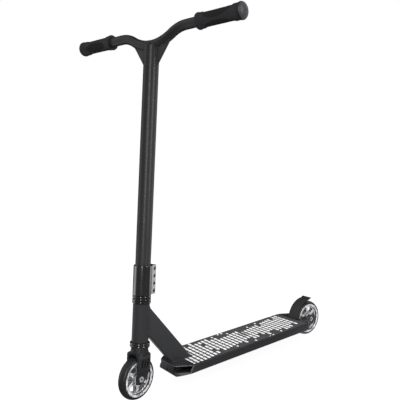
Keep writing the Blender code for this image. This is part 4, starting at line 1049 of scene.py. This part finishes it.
def wavy_slot(middle):
    """The outline of one S-shaped slot in a leg, with round ends."""
    rise = LEG_SLOT_LENGTH / 2 * math.cos(LEG_SLOT_TILT)
    lean = LEG_SLOT_LENGTH / 2 * math.sin(LEG_SLOT_TILT)
    left, right = [], []
    for k in range(-12, 13):
        t = k / 12
        slope = (lean - LEG_SLOT_WAVE * math.pi * math.cos(math.pi * t), rise)
        width = LEG_SLOT_WIDTH / 2 * (1 - max(0, abs(t) - 0.85) / 0.15 * 0.6) / math.hypot(*slope)
        y = middle + lean * t - LEG_SLOT_WAVE * math.sin(math.pi * t)
        z = LEG_SLOT_HEIGHT + rise * t
        left.append((y - slope[1] * width, z + slope[0] * width))
        right.append((y + slope[1] * width, z - slope[0] * width))
    return left + right[::-1]


def make_fork():
    """Crown and two legs: a front view met by a side view and a plan, then bored and slotted."""
    low = -DROPOUT_RADIUS - SPREAD
    round_at = (LEG_OUTSIDE - CROWN_SHOULDER, BLOCK_TOP - CROWN_SHOULDER)
    outer = [(DROPOUT_OUTSIDE, low), (DROPOUT_OUTSIDE, LEAN_FOOT), (LEG_OUTSIDE, LEAN_TOP)]
    outer += arc(round_at, CROWN_SHOULDER, 0, QUARTER, 12)
    arch = (CROWN_ARCH - LEG_INSIDE, CROWN_FOOT - CROWN_ARCH)
    inner = [(-LEG_INSIDE, low)] + arc(arch, CROWN_ARCH, math.pi, QUARTER, 10)
    front_view = mirrored(outer) + mirrored(inner)
    fork = slab(front_view, FORK_FRONT - SPREAD, FORK_BACK + SPREAD, "Y")

    corner = (FORK_FRONT + DROPOUT_CORNER, DROPOUT_CORNER - DROPOUT_RADIUS)
    side_view = arc(corner, DROPOUT_CORNER, math.pi, 3 * QUARTER, 8)
    back = FORK_BACK + FORK_OFFSET
    turn = math.atan2(TAPER_HEIGHT, back)
    turn -= math.acos(DROPOUT_RADIUS / math.hypot(back, TAPER_HEIGHT))
    side_view += arc((-FORK_OFFSET, 0), DROPOUT_RADIUS, 3 * QUARTER, math.tau + turn, 16)
    side_view.append((FORK_BACK, TAPER_HEIGHT))
    brow = CROWN_BROW
    side_view += arc((FORK_BACK - brow, BLOCK_TOP - brow), brow, 0, QUARTER, 8)
    side_view += arc((FORK_FRONT + brow, BLOCK_TOP - brow), brow, QUARTER, math.pi, 8)
    aside = LEG_OUTSIDE + SPREAD
    middle = (FORK_FRONT + FORK_BACK) / 2
    plan = rounded_box(2 * LEG_OUTSIDE, FORK_BACK - FORK_FRONT, LEG_EDGE, 8)
    plan = slab([(x, y + middle) for x, y in plan], low - SPREAD, CROWN_TOP, "Z")
    fork = carved(fork, slab(side_view, -aside, aside, "X"), plan, operation="INTERSECT")

    root = BLOCK_TOP - CROWN_SHOULDER / 2
    boss = turned([
        (0, root), (CROWN_BOSS + 0.002, root), (CROWN_BOSS + 0.0006, BLOCK_TOP + 0.0008),
        (CROWN_BOSS, BLOCK_TOP + 0.0022), (CROWN_BOSS - 0.0003, CROWN_TOP - 0.0006),
        (CROWN_BOSS - 0.0009, CROWN_TOP), (0, CROWN_TOP)])
    bore = rod((0, 0, CROWN_FOOT - SPREAD), (0, 0, CROWN_TOP + SPREAD), STEERER_RADIUS + GAP)
    pockets = axle_pockets(DROPOUT_OUTSIDE, DROPOUT_SEAT, (0, -FORK_OFFSET, 0))
    slots = together(
        slab(wavy_slot(middle + (k - (LEG_SLOTS - 1) / 2) * LEG_SLOT_PITCH), -aside, aside, "X")
        for k in range(LEG_SLOTS))
    fork = carved(carved(fork, boss, operation="UNION"), bore, pockets, slots)
    fork = stand_in(
        "fork", "coated", fork, HEAD, FORK_BLACK, "steering", "satin_black_fork", 0.0005)
    back = HEAD.inverted()
    keep_sharp(fork, lambda corner: (back @ corner).z < BLOCK_TOP - CROWN_BROW - 0.0005)

    def in_slot(middle, normal):
        at = back @ middle
        wall = abs((back.to_3x3() @ normal).x) < 0.5 and abs(at.x) > LEG_INSIDE + 0.0005
        deep = FORK_FRONT + 0.003 < at.y < FORK_BACK - 0.003
        return wall and deep and abs(at.z - LEG_SLOT_HEIGHT) < LEG_SLOT_LENGTH / 2 + 0.002

    # The slot walls are painted near-black as painted shade inside the slots.
    paint(fork, PAINTED_SHADE_BLACK, in_slot)


def reach(node, place):
    """Lowest and highest corner of a CAD node, measured along the axes of a frame."""
    back = place.inverted()
    points = [back @ corner.co for corner in frame["nodes"][node].data.vertices]
    return [Vector([pick(p[k] for p in points) for k in range(3)]) for pick in (min, max)]


def make_headset():
    """Head tube with its two cups, and the cap that turns with the bars."""
    tube = sleeve(HEAD_TUBE_BORE, HEAD_TUBE_RADIUS, HEAD_TUBE_FOOT, HEAD_TUBE_TOP, 0.0005)
    stand_in("head_tube", "coated", tube, STEERING, FRAME_BLACK, "frame", "satin_black_frame")

    low, high = reach("headset_lower_cup", STEERING)
    cup("headset_lower_cup", high.x, HEAD_TUBE_FOOT, low.z, 1)
    low, high = reach("headset_upper_cup", STEERING)
    cup("headset_upper_cup", high.x, HEAD_TUBE_TOP, high.z, -1)

    low, high = reach("headset_top_cap", HEAD)
    outside = high.x
    shoulder = arc((outside - CAP_EDGE, low.z + CAP_EDGE), CAP_EDGE, -QUARTER, 0, 8)
    shoulder += arc((outside - CAP_EDGE, high.z - CAP_EDGE), CAP_EDGE, 0, QUARTER, 8)
    bore = STEERER_RADIUS + GAP
    inside, ledge = outside - CAP_WALL, low.z + CAP_ROOF
    cap = turned([(bore, ledge), (inside, ledge), (inside, low.z)] + shoulder + [(bore, high.z)])
    stand_in("headset_top_cap", "anodised", cap, HEAD, HEADSET_BLACK, "steering",
             "gloss_black_headset")


def cup(name, outside, seat, mouth, into):
    """A headset cup: a collar against the tube, a waist, then the full width at its mouth."""
    bore = STEERER_RADIUS + 0.0006
    skirt = seat + into * CUP_SKIRT
    face = seat - into * GAP
    collar = HEAD_TUBE_RADIUS + GAP
    inside = HEAD_TUBE_BORE - GAP
    pocket = outside - CUP_WALL
    floor = face - into * CUP_FLOOR
    outline = [(bore, skirt), (inside, skirt), (inside, face), (collar - 0.0006, face)]
    room = abs(mouth - face)
    waist = CUP_WAIST * room
    for foot, height, lip in ((0, waist, 0.0012), (waist, room - waist, 0.0014)):
        for k in range(9):
            t = math.pi * k / 8
            radius = collar + (lip + (outside - collar - lip) * math.sin(t) ** 0.6)
            outline.append(
                (radius, face - into * (foot + height * (0.5 - 0.5 * math.cos(t)))))
    outline += [(pocket, mouth), (pocket, floor), (bore, floor)]
    stand_in(name, "anodised", turned(outline), STEERING, HEADSET_BLACK, "frame",
             "gloss_black_headset")


def make_clamp():
    """Polished split collar, its ears behind, and the row of bolts that draws them together."""
    bore = TUBE_RADIUS + GAP
    outside = bore + CLAMP_WALL
    ear = EAR_WIDTH / 2
    back = outside + EAR_DEPTH
    slit = CLAMP_SLIT / 2
    join = math.acos(ear / outside)
    half = [(slit, math.sqrt(bore ** 2 - slit ** 2)), (slit, back)]
    half += arc((ear - EAR_ROUNDING, back - EAR_ROUNDING), EAR_ROUNDING, QUARTER, 0, 8)
    half += arc((0, 0), outside, join, -QUARTER, 44)
    inside = arc((0, 0), bore, -QUARTER, QUARTER - math.asin(slit / bore), 48)
    outline = half + [(-x, y) for x, y in half[-2::-1] + inside[-2:0:-1]] + inside[:-1]
    collar = slab(outline, CLAMP_FOOT, CLAMP_TOP, "Z")

    bolt_y = (outside + back) / 2 - 0.0008
    seat = ear - CLAMP_BOLT_HEIGHT
    middle = (CLAMP_FOOT + CLAMP_TOP) / 2
    holes = []
    room = CLAMP_BOLT_RADIUS + GAP
    shank = CLAMP_BOLT_SHANK + GAP
    hole = [(0, -0.05), (shank, -0.05), (shank, 0), (room, 0), (room, 0.05), (0, 0.05)]
    for k in range(CLAMP_BOLTS):
        height = middle + (k - (CLAMP_BOLTS - 1) / 2) * CLAMP_BOLT_PITCH
        cut = turned(hole, SMALL)
        cut.transform(turn_to_x((seat, bolt_y, height)))
        holes.append(cut)
        bolt = socket_bolt(
            CLAMP_BOLT_RADIUS, CLAMP_BOLT_HEIGHT - GAP, CLAMP_BOLT_SHANK, ear + seat,
            CLAMP_BOLT_KEY)
        bolt.transform(turn_to_x((seat + GAP, bolt_y, height)))
        name = "clamp_bolt_{}".format(k + 1)
        bolt = stand_in(name, "socket", bolt, HEAD, BOLT_STEEL, "steering", "steel")
        paint_socket_shade(
            bolt, HEAD @ Vector((seat, bolt_y, height)), FRONT_AXIS, CLAMP_BOLT_KEY + 0.0007)
    collar = carved(collar, together(holes))
    collar = stand_in(
        "clamp_collar", "polished", collar, HEAD, CLAMP_CHROME, "steering", "dark_chrome", 0.0006)
    to_clamp = HEAD.inverted()
    join_y = outside * math.sin(join)

    def on_ear(middle, normal):
        place = to_clamp @ middle
        return place.y > join_y and math.hypot(place.x, place.y) > outside + 0.0002

    # The ears get the lighter steel as a painted reflection.
    paint(collar, EAR_PAINTED_REFLECTION, on_ear)


def bar_height(x):
    """Height of the cross tube's centre line at a distance x from the middle."""
    if x <= INNER_BEND * math.sin(BEND_ANGLE):
        return BAR_MIDDLE + INNER_BEND - math.sqrt(INNER_BEND ** 2 - x ** 2)
    if x >= BEND_RUN:
        return GRIP_LINE
    return GRIP_LINE - OUTER_BEND + math.sqrt(OUTER_BEND ** 2 - (BEND_RUN - x) ** 2)


def cross_bar(radius):
    """The bars' gull-wing cross tube as a round bar of some radius, from right to left."""
    steps = 20
    bends = [BEND_ANGLE * k / steps for k in range(steps + 1)]
    half = [(INNER_BEND * math.sin(t), BAR_MIDDLE + INNER_BEND * (1 - math.cos(t))) for t in bends]
    half += [
        (BEND_RUN - OUTER_BEND * math.sin(t), GRIP_LINE - OUTER_BEND * (1 - math.cos(t)))
        for t in bends[-2::-1]]
    half.append((BAR_HALF, GRIP_LINE))
    line = [(-x, 0, z) for x, z in reversed(half[1:])] + [(x, 0, z) for x, z in half]
    return closed(opened(BENT_TUBE.grown(path_mesh(line), {"Radius": radius, "Sides": ROUND})))


def make_bars():
    """Down tube with its slit foot and mitred dome, cross tube, and two gussets."""
    look = (HEAD, BAR_BLACK, "steering", "satin_black_bars")
    mouths = [
        rod((sign * (BAR_HALF - 0.03), 0, GRIP_LINE), (sign * (BAR_HALF + SPREAD), 0, GRIP_LINE),
            CROSS_RADIUS - CROSS_WALL) for sign in (1, -1)]
    cross = carved(cross_bar(CROSS_RADIUS), *mouths)
    stand_in("bar_cross_tube", "coated", cross, *look)

    foot = CLAMP_FOOT + GAP
    bore = TUBE_RADIUS - TUBE_WALL
    dome = arc((0, DOME_SPRING), TUBE_RADIUS, 0, DOME_END, 12, DOME_HEIGHT)
    hollow = arc((0, DOME_SPRING), bore, 0, DOME_END, 12, DOME_HEIGHT - TUBE_WALL)
    tube = turned([(bore, foot), (TUBE_RADIUS, foot)] + dome + hollow[::-1])
    slit = TUBE_SLIT / 2
    slot = [(-slit, foot - SPREAD), (slit, foot - SPREAD)]
    slot += arc((0, foot + TUBE_SLIT_LENGTH), slit, 0, math.pi, 10)
    tube = carved(tube, cross_bar(CROSS_RADIUS + GAP), slab(slot, 0, 2 * TUBE_RADIUS, "Y"))
    stand_in("bar_down_tube", "coated", tube, *look)

    toe = Vector((TUBE_RADIUS, GUSSET_TOE))
    tip = Vector((GUSSET_REACH, bar_height(GUSSET_REACH) - CROSS_RADIUS))
    slope = (tip - toe).normalized()
    low = toe - slope * SPREAD
    high = tip + slope * CROSS_RADIUS / 2
    inner = TUBE_RADIUS / 2
    top = [high.x + (inner - high.x) * k / 16 for k in range(1, 17)]
    outline = [tuple(low), tuple(high)] + [(x, bar_height(x)) for x in top] + [(inner, low.y)]
    for side, sign in SIDES:
        plate = slab([(sign * x, z) for x, z in outline], -GUSSET_HALF, GUSSET_HALF, "Y")
        around = rod((0, 0, low.y - SPREAD), (0, 0, GRIP_LINE), TUBE_RADIUS + GAP, FINE)
        plate = carved(plate, around, cross_bar(CROSS_RADIUS + GAP))
        stand_in("bar_gusset_" + side, "coated", plate, *look, 0.0006)


def mitre_run(start, end):
    """Where the down tube's domed top meets the cross tube, over part of a turn."""
    run = []
    top = DOME_SPRING + DOME_HEIGHT * math.sin(DOME_END) - 0.0018
    for k in range(33):
        turn = start + (end - start) * k / 32
        z = DOME_SPRING - 0.02
        while True:
            rise = max((z - DOME_SPRING) / DOME_HEIGHT, 0.0)
            radius = TUBE_RADIUS * math.sqrt(1 - rise ** 2)
            x, y = radius * math.cos(turn), radius * math.sin(turn)
            if z >= top or math.hypot(y, bar_height(abs(x)) - z) < CROSS_RADIUS:
                break
            z += 0.0002
        run.append((x, y, z))
    return run


def make_bar_welds():
    """Ripple beads round the mitre, down both faces of each gusset and along the cross tube."""
    clear = math.asin(GUSSET_HALF / TUBE_RADIUS) + 0.05
    runs = [mitre_run(turn + clear, turn + math.pi - clear) for turn in (0, math.pi)]
    beside = math.sqrt(TUBE_RADIUS ** 2 - GUSSET_HALF ** 2)
    under = math.sqrt(CROSS_RADIUS ** 2 - GUSSET_HALF ** 2)
    rise = bar_height(beside) - under - GUSSET_TOE
    for sign in (1, -1):
        for y in (GUSSET_HALF, -GUSSET_HALF):
            runs.append([(sign * beside, y, GUSSET_TOE + rise * k / 20) for k in range(21)])
            along = [beside + (GUSSET_REACH - beside) * k / 20 for k in range(21)]
            runs.append([(sign * x, y, bar_height(x) - under) for x in along])
        runs.append([(sign * TUBE_RADIUS, t * GUSSET_HALF, GUSSET_TOE) for t in (-1, 0, 1)])
    beads = WELD_BEAD.grown(path_mesh(*runs), BAR_WELD)
    piece("bar_weld_beads", beads, HEAD, WELD_BLACK_PAINTED_HIGHLIGHT, "steering")


def make_grips():
    """Rubber grips with raised collars and sunken ribbed pads, and the domed end plugs."""
    rim = BAR_HALF + GAP
    stem_end = BAR_HALF - PLUG_STEM_LENGTH
    dome_foot = rim + PLUG_RIM
    dome = arc((0, dome_foot), PLUG_RADIUS, 0, PLUG_DOME_END, 14, PLUG_DOME)
    top = dome[-1][1]
    outline = [(0, stem_end), (PLUG_STEM, stem_end), (PLUG_STEM, rim),
               (PLUG_RADIUS - 0.0008, rim), (PLUG_RADIUS, rim + 0.0006)] + dome
    outline += [(PLUG_HOLE + 0.0003, top), (PLUG_HOLE, top - 0.0004), (PLUG_HOLE, dome_foot),
                (0, dome_foot)]
    for side, sign in SIDES:
        turn = Matrix.Rotation(sign * QUARTER, 4, "Y")
        place = HEAD @ Matrix.Translation((0, 0, GRIP_LINE)) @ turn
        grip = grip_shape(BAR_HALF - GRIP_LENGTH, BAR_HALF)
        stand_in("grip_" + side, "moulded", grip, place, GRIP_BLACK, "steering", "grip_rubber")
        plug = stand_in("bar_end_plug_" + side, "moulded", turned(outline), place, PLUG_GREY,
                        "steering", "plug_plastic")
        centre, outward = place.translation, place.col[2].to_3d()
        # The rim and the foot of the dome are painted near-black: painted shade of the gap against
        # the grip.
        paint(plug, PAINTED_SHADE_BLACK, lambda middle, normal: (
            (middle - centre).dot(outward) < dome_foot + 0.0030))


def grip_shape(start, end):
    """A grip about Z: its turned outline, with ribbed pads pressed into the middle."""
    bore = CROSS_RADIUS + GAP
    body_start = start + COLLAR_WIDTH + COLLAR_TAPER
    body_end = end - COLLAR_WIDTH - COLLAR_TAPER
    length = body_end - body_start
    top = start + FLANGE_WIDTH
    brim = FLANGE_RADIUS - FLANGE_EDGE
    outline = [(bore, start)] + arc((brim, start + FLANGE_EDGE), FLANGE_EDGE, -QUARTER, 0, 4)
    outline += arc((brim, top - FLANGE_EDGE), FLANGE_EDGE, 0, QUARTER, 4)[:-1]
    outline += [
        (COLLAR_RADIUS + 0.0003, top), (COLLAR_RADIUS, top + 0.0006),
        (COLLAR_RADIUS, start + COLLAR_WIDTH), (GRIP_RADIUS + 0.0003, body_start - 0.0006)]
    outline += [(GRIP_RADIUS, body_start + length * k / 96) for k in range(97)]
    outline += [
        (GRIP_RADIUS + 0.0003, body_end + 0.0006), (COLLAR_RADIUS, end - COLLAR_WIDTH),
        (COLLAR_RADIUS, end - 0.0012), (COLLAR_RADIUS - 0.0012, end), (bore, end)]
    mesh = turned(outline, 120)
    pad = mesh.attributes.new("pad", "FLOAT", "POINT")
    middle = (body_start + body_end) / 2
    half = length / 2 - 0.001
    for corner in mesh.vertices:
        x, y, z = corner.co
        radius = math.hypot(x, y)
        if radius < GRIP_RADIUS - 0.0001 or not body_start < z < body_end:
            continue
        turn = math.atan2(y, x) * PADS / math.tau
        aside = abs(turn - round(turn)) * 2
        share = math.hypot(aside / 0.86, (z - middle) / half)
        inside = min(max((1.0 - share) / 0.10, 0.0), 1.0)
        rib = 0.5 + 0.5 * math.cos(math.tau * (z - middle) / RIB_PITCH)
        depth = inside * PAD_DEPTH * (1.0 - 0.75 * min(1.0, 1.6 * rib) * (share < 0.9))
        corner.co.x *= (radius - depth) / radius
        corner.co.y *= (radius - depth) / radius
        pad.data[corner.index].value = inside
    return mesh


def neck_line(offset):
    """A line along the neck in the YZ plane: its start on the steering axis and its direction."""
    join = STEERING_FOOT + STEERING_AXIS * (HEAD_TUBE_TOP - NECK_JOIN)
    along = Vector((math.cos(NECK_SLOPE), -math.sin(NECK_SLOPE)))
    normal = Vector((math.sin(NECK_SLOPE), math.cos(NECK_SLOPE)))
    return Vector((join.y, join.z)) + normal * offset, along


def neck_frame():
    """The neck's own frame, with Z along it, and its direction."""
    start, along = neck_line(0)
    direction = Vector((0, along.x, along.y))
    return axes_at((0, start.x, start.y), direction, (1, 0, 0)), direction


def on_deck(offset):
    """How far back a line along the neck reaches the deck's top."""
    start, along = neck_line(offset)
    return (start + along * ((DECK_TOP - start.y) / along.y)).x


def make_neck():
    """Rectangular tube with round edges, mitred to the head tube and cut off on the deck."""
    tube = slab(rounded_box(2 * NECK_HALF, NECK_HEIGHT, NECK_EDGE), 0, NECK_BLANK, "Z")
    tube.transform(neck_frame()[0])
    side = 3 * NECK_HALF
    below = slab(rectangle(-side, -NECK_BLANK, side, DECK_TOP + GAP), -0.5, 0.5, "Y")
    around = rod((0, 0, 0), (0, 0, NECK_BLANK), HEAD_TUBE_RADIUS + GAP, FINE)
    around.transform(STEERING)
    bm = opened(carved(tube, below, around))
    back = STEERING.inverted()
    ahead = [corner for corner in bm.verts if (back @ corner.co).y < 0]
    bmesh.ops.delete(bm, geom=ahead, context="VERTS")
    stand_in("neck", "coated", closed(bm), GROUND, FRAME_BLACK, "frame", "satin_black_frame")


def make_frame_welds():
    """Ripple beads where the neck meets the head tube and where it stands on the deck."""
    back = STEERING.inverted()
    place, direction = neck_frame()
    ring = rounded_box(2 * NECK_HALF, NECK_HEIGHT, NECK_EDGE, 4)
    ring.append(ring[0])
    dense = []
    for (x0, y0), (x1, y1) in zip(ring, ring[1:]):
        steps = max(1, round(math.hypot(x1 - x0, y1 - y0) / 0.002))
        dense += [(x0 + (x1 - x0) * k / steps, y0 + (y1 - y0) * k / steps) for k in range(steps)]
    dense.append(ring[0])
    upper, lower = [], []
    for x, y in dense:
        foot = place @ Vector((x, y, 0))
        low, high = -0.03, 0.06
        for _ in range(30):
            middle = (low + high) / 2
            seen = back @ (foot + direction * middle)
            if math.hypot(seen.x, seen.y) < HEAD_TUBE_RADIUS or seen.y < 0:
                low = middle
            else:
                high = middle
        upper.append(foot + direction * high)
        lower.append(foot + direction * ((DECK_TOP - foot.z) / direction.z))
    beads = WELD_BEAD.grown(path_mesh(upper, lower), FRAME_WELD)
    piece("frame_weld_beads", beads, GROUND, WELD_BLACK_PAINTED_HIGHLIGHT, "frame")


def make_deck():
    """Hollow extrusion cut to its plan: nose and tail tapers, open side chambers, wheel slot."""
    nose = on_deck(-NECK_HEIGHT / 2) - NOSE_AHEAD
    tail = REAR_CENTRE.y + ARM_BEHIND_AXLE
    slot_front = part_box("fender_foot")[0].y - GAP
    tail_taper = REAR_CENTRE.y - TAIL_TAPER_AHEAD
    pocket = FENDER_WIDTH / 2 + GAP
    pocket_end = slot_front + FENDER_THICKNESS + 0.0048
    section = mirrored([
        (KEEL_HALF, DECK_FOOT), (DECK_HALF, DECK_SIDE_FOOT),
        (DECK_HALF, DECK_TOP - DECK_EDGE), (DECK_HALF - DECK_EDGE, DECK_TOP)])
    end = tail + ARM_END_RADIUS + SPREAD
    deck = slab(section, nose - SPREAD, end, "Y")
    beyond = end + SPREAD
    slot = WHEEL_SLOT / 2
    side = DECK_HALF + GAP
    low = DECK_FOOT - SPREAD
    high = DECK_TOP + SPREAD
    slant = (NOSE_TAPER_TOP - NOSE_TAPER) / (DECK_TOP - DECK_SIDE_FOOT)
    lean = (NOSE_HALF - NOSE_HALF_TOP) / (DECK_TOP - DECK_FOOT)
    plans = [mirrored([
        (pocket, slot_front), (pocket, pocket_end), (slot, pocket_end), (slot, beyond),
        (ARM_OUTSIDE, beyond), (ARM_OUTSIDE, tail_taper + ARM_TAPER), (side, tail_taper),
        (side, nose + NOSE_TAPER + slant * (z - DECK_SIDE_FOOT)),
        (NOSE_HALF - lean * (z - DECK_FOOT), nose)]) for z in (low, high)]
    ahead = nose - 2 * SPREAD
    side_view = [(ahead, low), (tail, low)]
    side_view += arc((tail, REAR_CENTRE.z), ARM_END_RADIUS, -QUARTER, QUARTER, 28)
    side_view += [(tail, high), (ahead, high)]
    deck = carved(
        deck, between_plans(plans[0], low, plans[1], high),
        slab(side_view, -side - SPREAD, side + SPREAD, "X"), operation="INTERSECT")
    floor = DECK_SIDE_FOOT + DECK_WALL
    wall = DECK_HALF - DECK_WALL
    chambers = together(
        slab(rectangle(left, bottom, right, DECK_TOP - DECK_WALL), start, stop, "Y")
        for left, bottom, right, start, stop in (
            (-wall, floor, -RAIL_OUTSIDE, ahead, beyond),
            (-MIDDLE_CHAMBER, DECK_FOOT + DECK_WALL, MIDDLE_CHAMBER, nose + NOSE_WALL,
             slot_front - TAIL_WALL),
            (RAIL_OUTSIDE, floor, wall, ahead, beyond)))
    hole = rod(
        (0, ahead, NOSE_HOLE_HEIGHT), (0, nose + NOSE_HOLE_DEPTH, NOSE_HOLE_HEIGHT),
        NOSE_HOLE_RADIUS)
    deck = carved(deck, chambers, axle_pockets(ARM_OUTSIDE, ARM_SEAT, REAR_CENTRE), hole)
    stand_in("deck", "coated", deck, GROUND, DECK_BLACK, "frame", "satin_black_frame", 0.0009)

    low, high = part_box("grip_tape")
    margin = NECK_HALF + 0.002
    notch = on_deck(NECK_HEIGHT / 2) + 0.002

    def tape_outline(edge):
        return mirrored([
            (high.x - edge, high.y - edge), (high.x - edge, low.y + edge),
            (margin + edge, low.y + edge), (margin + edge, notch + edge)])

    tape = slab(tape_outline(0), low.z, high.z, "Z")
    stand_in("grip_tape", "grit", tape, GROUND, TAPE_GRIT, "frame", "grip_tape")

    dashes = DASHES.grown(path_mesh([(0, 0, 0), (0, 0, 0)]), {**PRINT, "Width": 2 * high.x})
    dashes.transform(Matrix.Translation((0, PRINT_MIDDLE, high.z + PRINT_LIFT)))
    level = high.z - 0.001
    room = slab(tape_outline(PRINT_MARGIN), level, level + 0.002, "Z")
    dashes = carved(room, closed(opened(dashes)), operation="INTERSECT")
    piece("tape_print", dashes, GROUND, TAPE_PRINT, "frame")


def make_fender():
    """The flexing strip over the wheel with its turned-up lip, its foot and two screws."""
    radius = TYRE_RADIUS + FENDER_CLEARANCE + FENDER_THICKNESS / 2
    start = math.asin((DECK_TOP + 2 * GAP - REAR_CENTRE.z) / radius)
    line = [Vector((-x, z)) for x, z in arc((0, 0), radius, start, QUARTER, 40)]
    tilt = Vector((math.cos(FENDER_LIP_TILT), math.sin(FENDER_LIP_TILT)))
    corner = line.pop()
    line += [corner - Vector((FENDER_LIP_BEND, 0)), corner + tilt * FENDER_LIP_BEND,
             corner + tilt * FENDER_LIP]
    upper, lower = [], []
    for k, point in enumerate(line):
        run = (line[min(k + 1, len(line) - 1)] - line[max(k - 1, 0)]).normalized()
        normal = Vector((-run.y, run.x)) * FENDER_THICKNESS / 2
        upper.append(point + normal)
        lower.append(point - normal)
    outline = [(p.x + REAR_CENTRE.y, p.y + REAR_CENTRE.z) for p in upper + lower[::-1]]
    strip = slab(outline, -FENDER_WIDTH / 2, FENDER_WIDTH / 2, "X")
    stand_in(
        "fender_brake", "coated", strip, GROUND, FENDER_BLACK, "brake", "fender_steel", 0.0006)

    low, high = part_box("fender_foot")
    foot = slab(rectangle(low.y, low.z, high.y, high.z), low.x, high.x, "X")
    for k in (1, 2):
        name = "fender_screw_{}".format(k)
        near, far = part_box(name)
        middle = (near + far) / 2
        foot = carved(foot, rod(
            (middle.x, low.y - SPREAD, middle.z), (middle.x, high.y + SPREAD, middle.z),
            SCREW_SHANK + GAP))
        screw = socket_bolt(SCREW_RADIUS, SCREW_HEIGHT, SCREW_SHANK, SCREW_LENGTH, SCREW_KEY)
        screw.transform(Matrix.Translation((middle.x, high.y + GAP, middle.z))
                        @ Matrix.Rotation(-QUARTER, 4, "X"))
        stand_in(name, "socket", screw, GROUND, BLACK_OXIDE, "frame", "black_steel")
    stand_in(
        "fender_foot", "coated", foot, GROUND, FENDER_BLACK, "frame", "fender_steel", 0.0004)


def coat_hidden_nodes():
    """The inner CAD parts keep their meshes and get their steels."""
    for finish, names in (
            (BRIGHT_STEEL, (
                "steerer_shim", "star_nut", "crown_race", "headset_upper_bearing",
                "headset_lower_bearing", "headset_compression_ring", "front_bearing_spacer",
                "rear_bearing_spacer")),
            (BLACK_OXIDE, ("compression_cap", "compression_bolt", "steerer_tube"))):
        for name in names:
            frame["nodes"][name].material_slots[0].material = finish


def seen_level(nodes, direction):
    """What gloss sees: white off to the sides, dim at the photographer's back and far behind."""
    kind = "ShaderNodeVectorMath"
    flat = nodes.node(kind, {0: direction, 1: (1, 1, 0)}, "Vector", operation="MULTIPLY")
    level = nodes.node(kind, {0: flat}, "Vector", operation="NORMALIZE")
    facing = nodes.node(
        kind, {0: level, 1: tuple(DIM_WAY)}, "Value", operation="DOT_PRODUCT")
    return nodes.between(facing, *DIM_NEAR, 1.0, DIM_SIDE) * nodes.between(facing, *DIM_FAR)


def ray_kinds(nodes):
    """1 for rays from the camera or through glass, and 1 for glossy rays."""
    path = nodes.node("ShaderNodeLightPath")
    return path + path.out("Is Transmission Ray"), path.out("Is Glossy Ray")


def make_floor():
    """A pale floor that keeps the shadow."""
    mesh = bpy.data.meshes.new("floor")
    corners = rectangle(-FLOOR_HALF, -FLOOR_HALF, FLOOR_HALF, FLOOR_HALF)
    mesh.from_pydata([(x, y, 0) for x, y in corners], [], [(0, 1, 2, 3)])
    floor = added("floor", mesh)
    finish = Finish("pale_floor")
    finish.done(Base_Color=(0.9, 0.9, 0.9), Roughness=0.9, Specular_IOR_Level=0.0)
    through, glossy = ray_kinds(finish)
    level = through + glossy * seen_level(finish, finish.place)
    glow = finish.node(
        "ShaderNodeEmission", {"Color": (1, 1, 1, 1), "Strength": level * FLOOR_WHITE})
    plain = Value(finish, finish.shader.outputs[0])
    share = through * FLOOR_GLOW + glossy
    both = finish.node("ShaderNodeMixShader", {0: share, 1: plain, 2: glow})
    finish.feed(finish.tree.nodes["Material Output"].inputs["Surface"], both)
    mesh.materials.append(finish.material)


def make_world():
    """White behind the object for camera, gloss and glass; a plain level for the light itself."""
    world = bpy.data.worlds.new("studio")
    bpy.context.scene.world = world
    world.use_nodes = True
    sky = Nodes(world.node_tree)
    through, glossy = ray_kinds(sky)
    direction = sky.node("ShaderNodeTexCoord")
    height = sky.node("ShaderNodeSeparateXYZ", {0: direction}, "Z").math("MAXIMUM", 0.0)
    rest = (1 - through - glossy) * (WORLD_LEVEL + ZENITH_LEVEL * height)
    background = world.node_tree.nodes["Background"]
    sky.feed(background.inputs["Strength"], rest + through + glossy * seen_level(sky, direction))
    background.inputs["Color"].default_value = (1, 1, 1, 1)


def make_lamp(name, turn, radiance):
    """A tall soft lamp, turned from the photographer's side, that faces the scooter's middle."""
    side = Matrix.Rotation(math.radians(turn), 3, "Z") @ VIEW_SIDE
    light = bpy.data.lights.new(name, "AREA")
    light.shape = "RECTANGLE"
    light.size = LAMP_WIDTH
    light.size_y = LAMP_HEIGHT
    light.energy = radiance * math.pi * LAMP_WIDTH * LAMP_HEIGHT
    lamp = added(name, light)
    lamp.location = side * LAMP_DISTANCE + Vector((0, 0, LAMP_LIFT))
    lamp.rotation_euler = (-side).to_track_quat("-Z", "Y").to_euler()


def make_camera():
    """The photograph's view."""
    flat = math.cos(VIEW_LIFT)
    back = Vector((
        math.sin(VIEW_AZIMUTH) * flat, -math.cos(VIEW_AZIMUTH) * flat, math.sin(VIEW_LIFT)))
    across = Vector((0, 0, 1)).cross(back).normalized()
    up = back.cross(across)
    right = across * math.cos(VIEW_ROLL) + up * math.sin(VIEW_ROLL)
    top = up * math.cos(VIEW_ROLL) - across * math.sin(VIEW_ROLL)
    lens = bpy.data.cameras.new("camera")
    lens.lens = FOCAL_LENGTH
    lens.sensor_width = FILM_WIDTH
    lens.shift_x, lens.shift_y = LENS_SHIFT
    lens.clip_start = 0.01
    camera = added("camera", lens)
    place = Matrix((right, top, back)).transposed().to_4x4()
    place.translation = VIEW_PLACE
    camera.matrix_world = place
    bpy.context.scene.camera = camera


make_wheel("front", "front_wheel", FRONT_AXLE)
make_wheel("rear", "rear_wheel", REAR_AXLE)
make_axle("front", "steering", FRONT_AXLE, DROPOUT_SEAT)
make_axle("rear", "frame", REAR_AXLE, ARM_SEAT)
make_fork()
make_headset()
make_clamp()
make_bars()
make_bar_welds()
make_grips()
make_neck()
make_frame_welds()
make_deck()
make_fender()
coat_hidden_nodes()
make_floor()
make_world()
make_lamp("front strip", -10, 12)
make_lamp("side strip", 52, 11)
make_camera()
bpy.context.scene.view_settings.view_transform = "Standard"
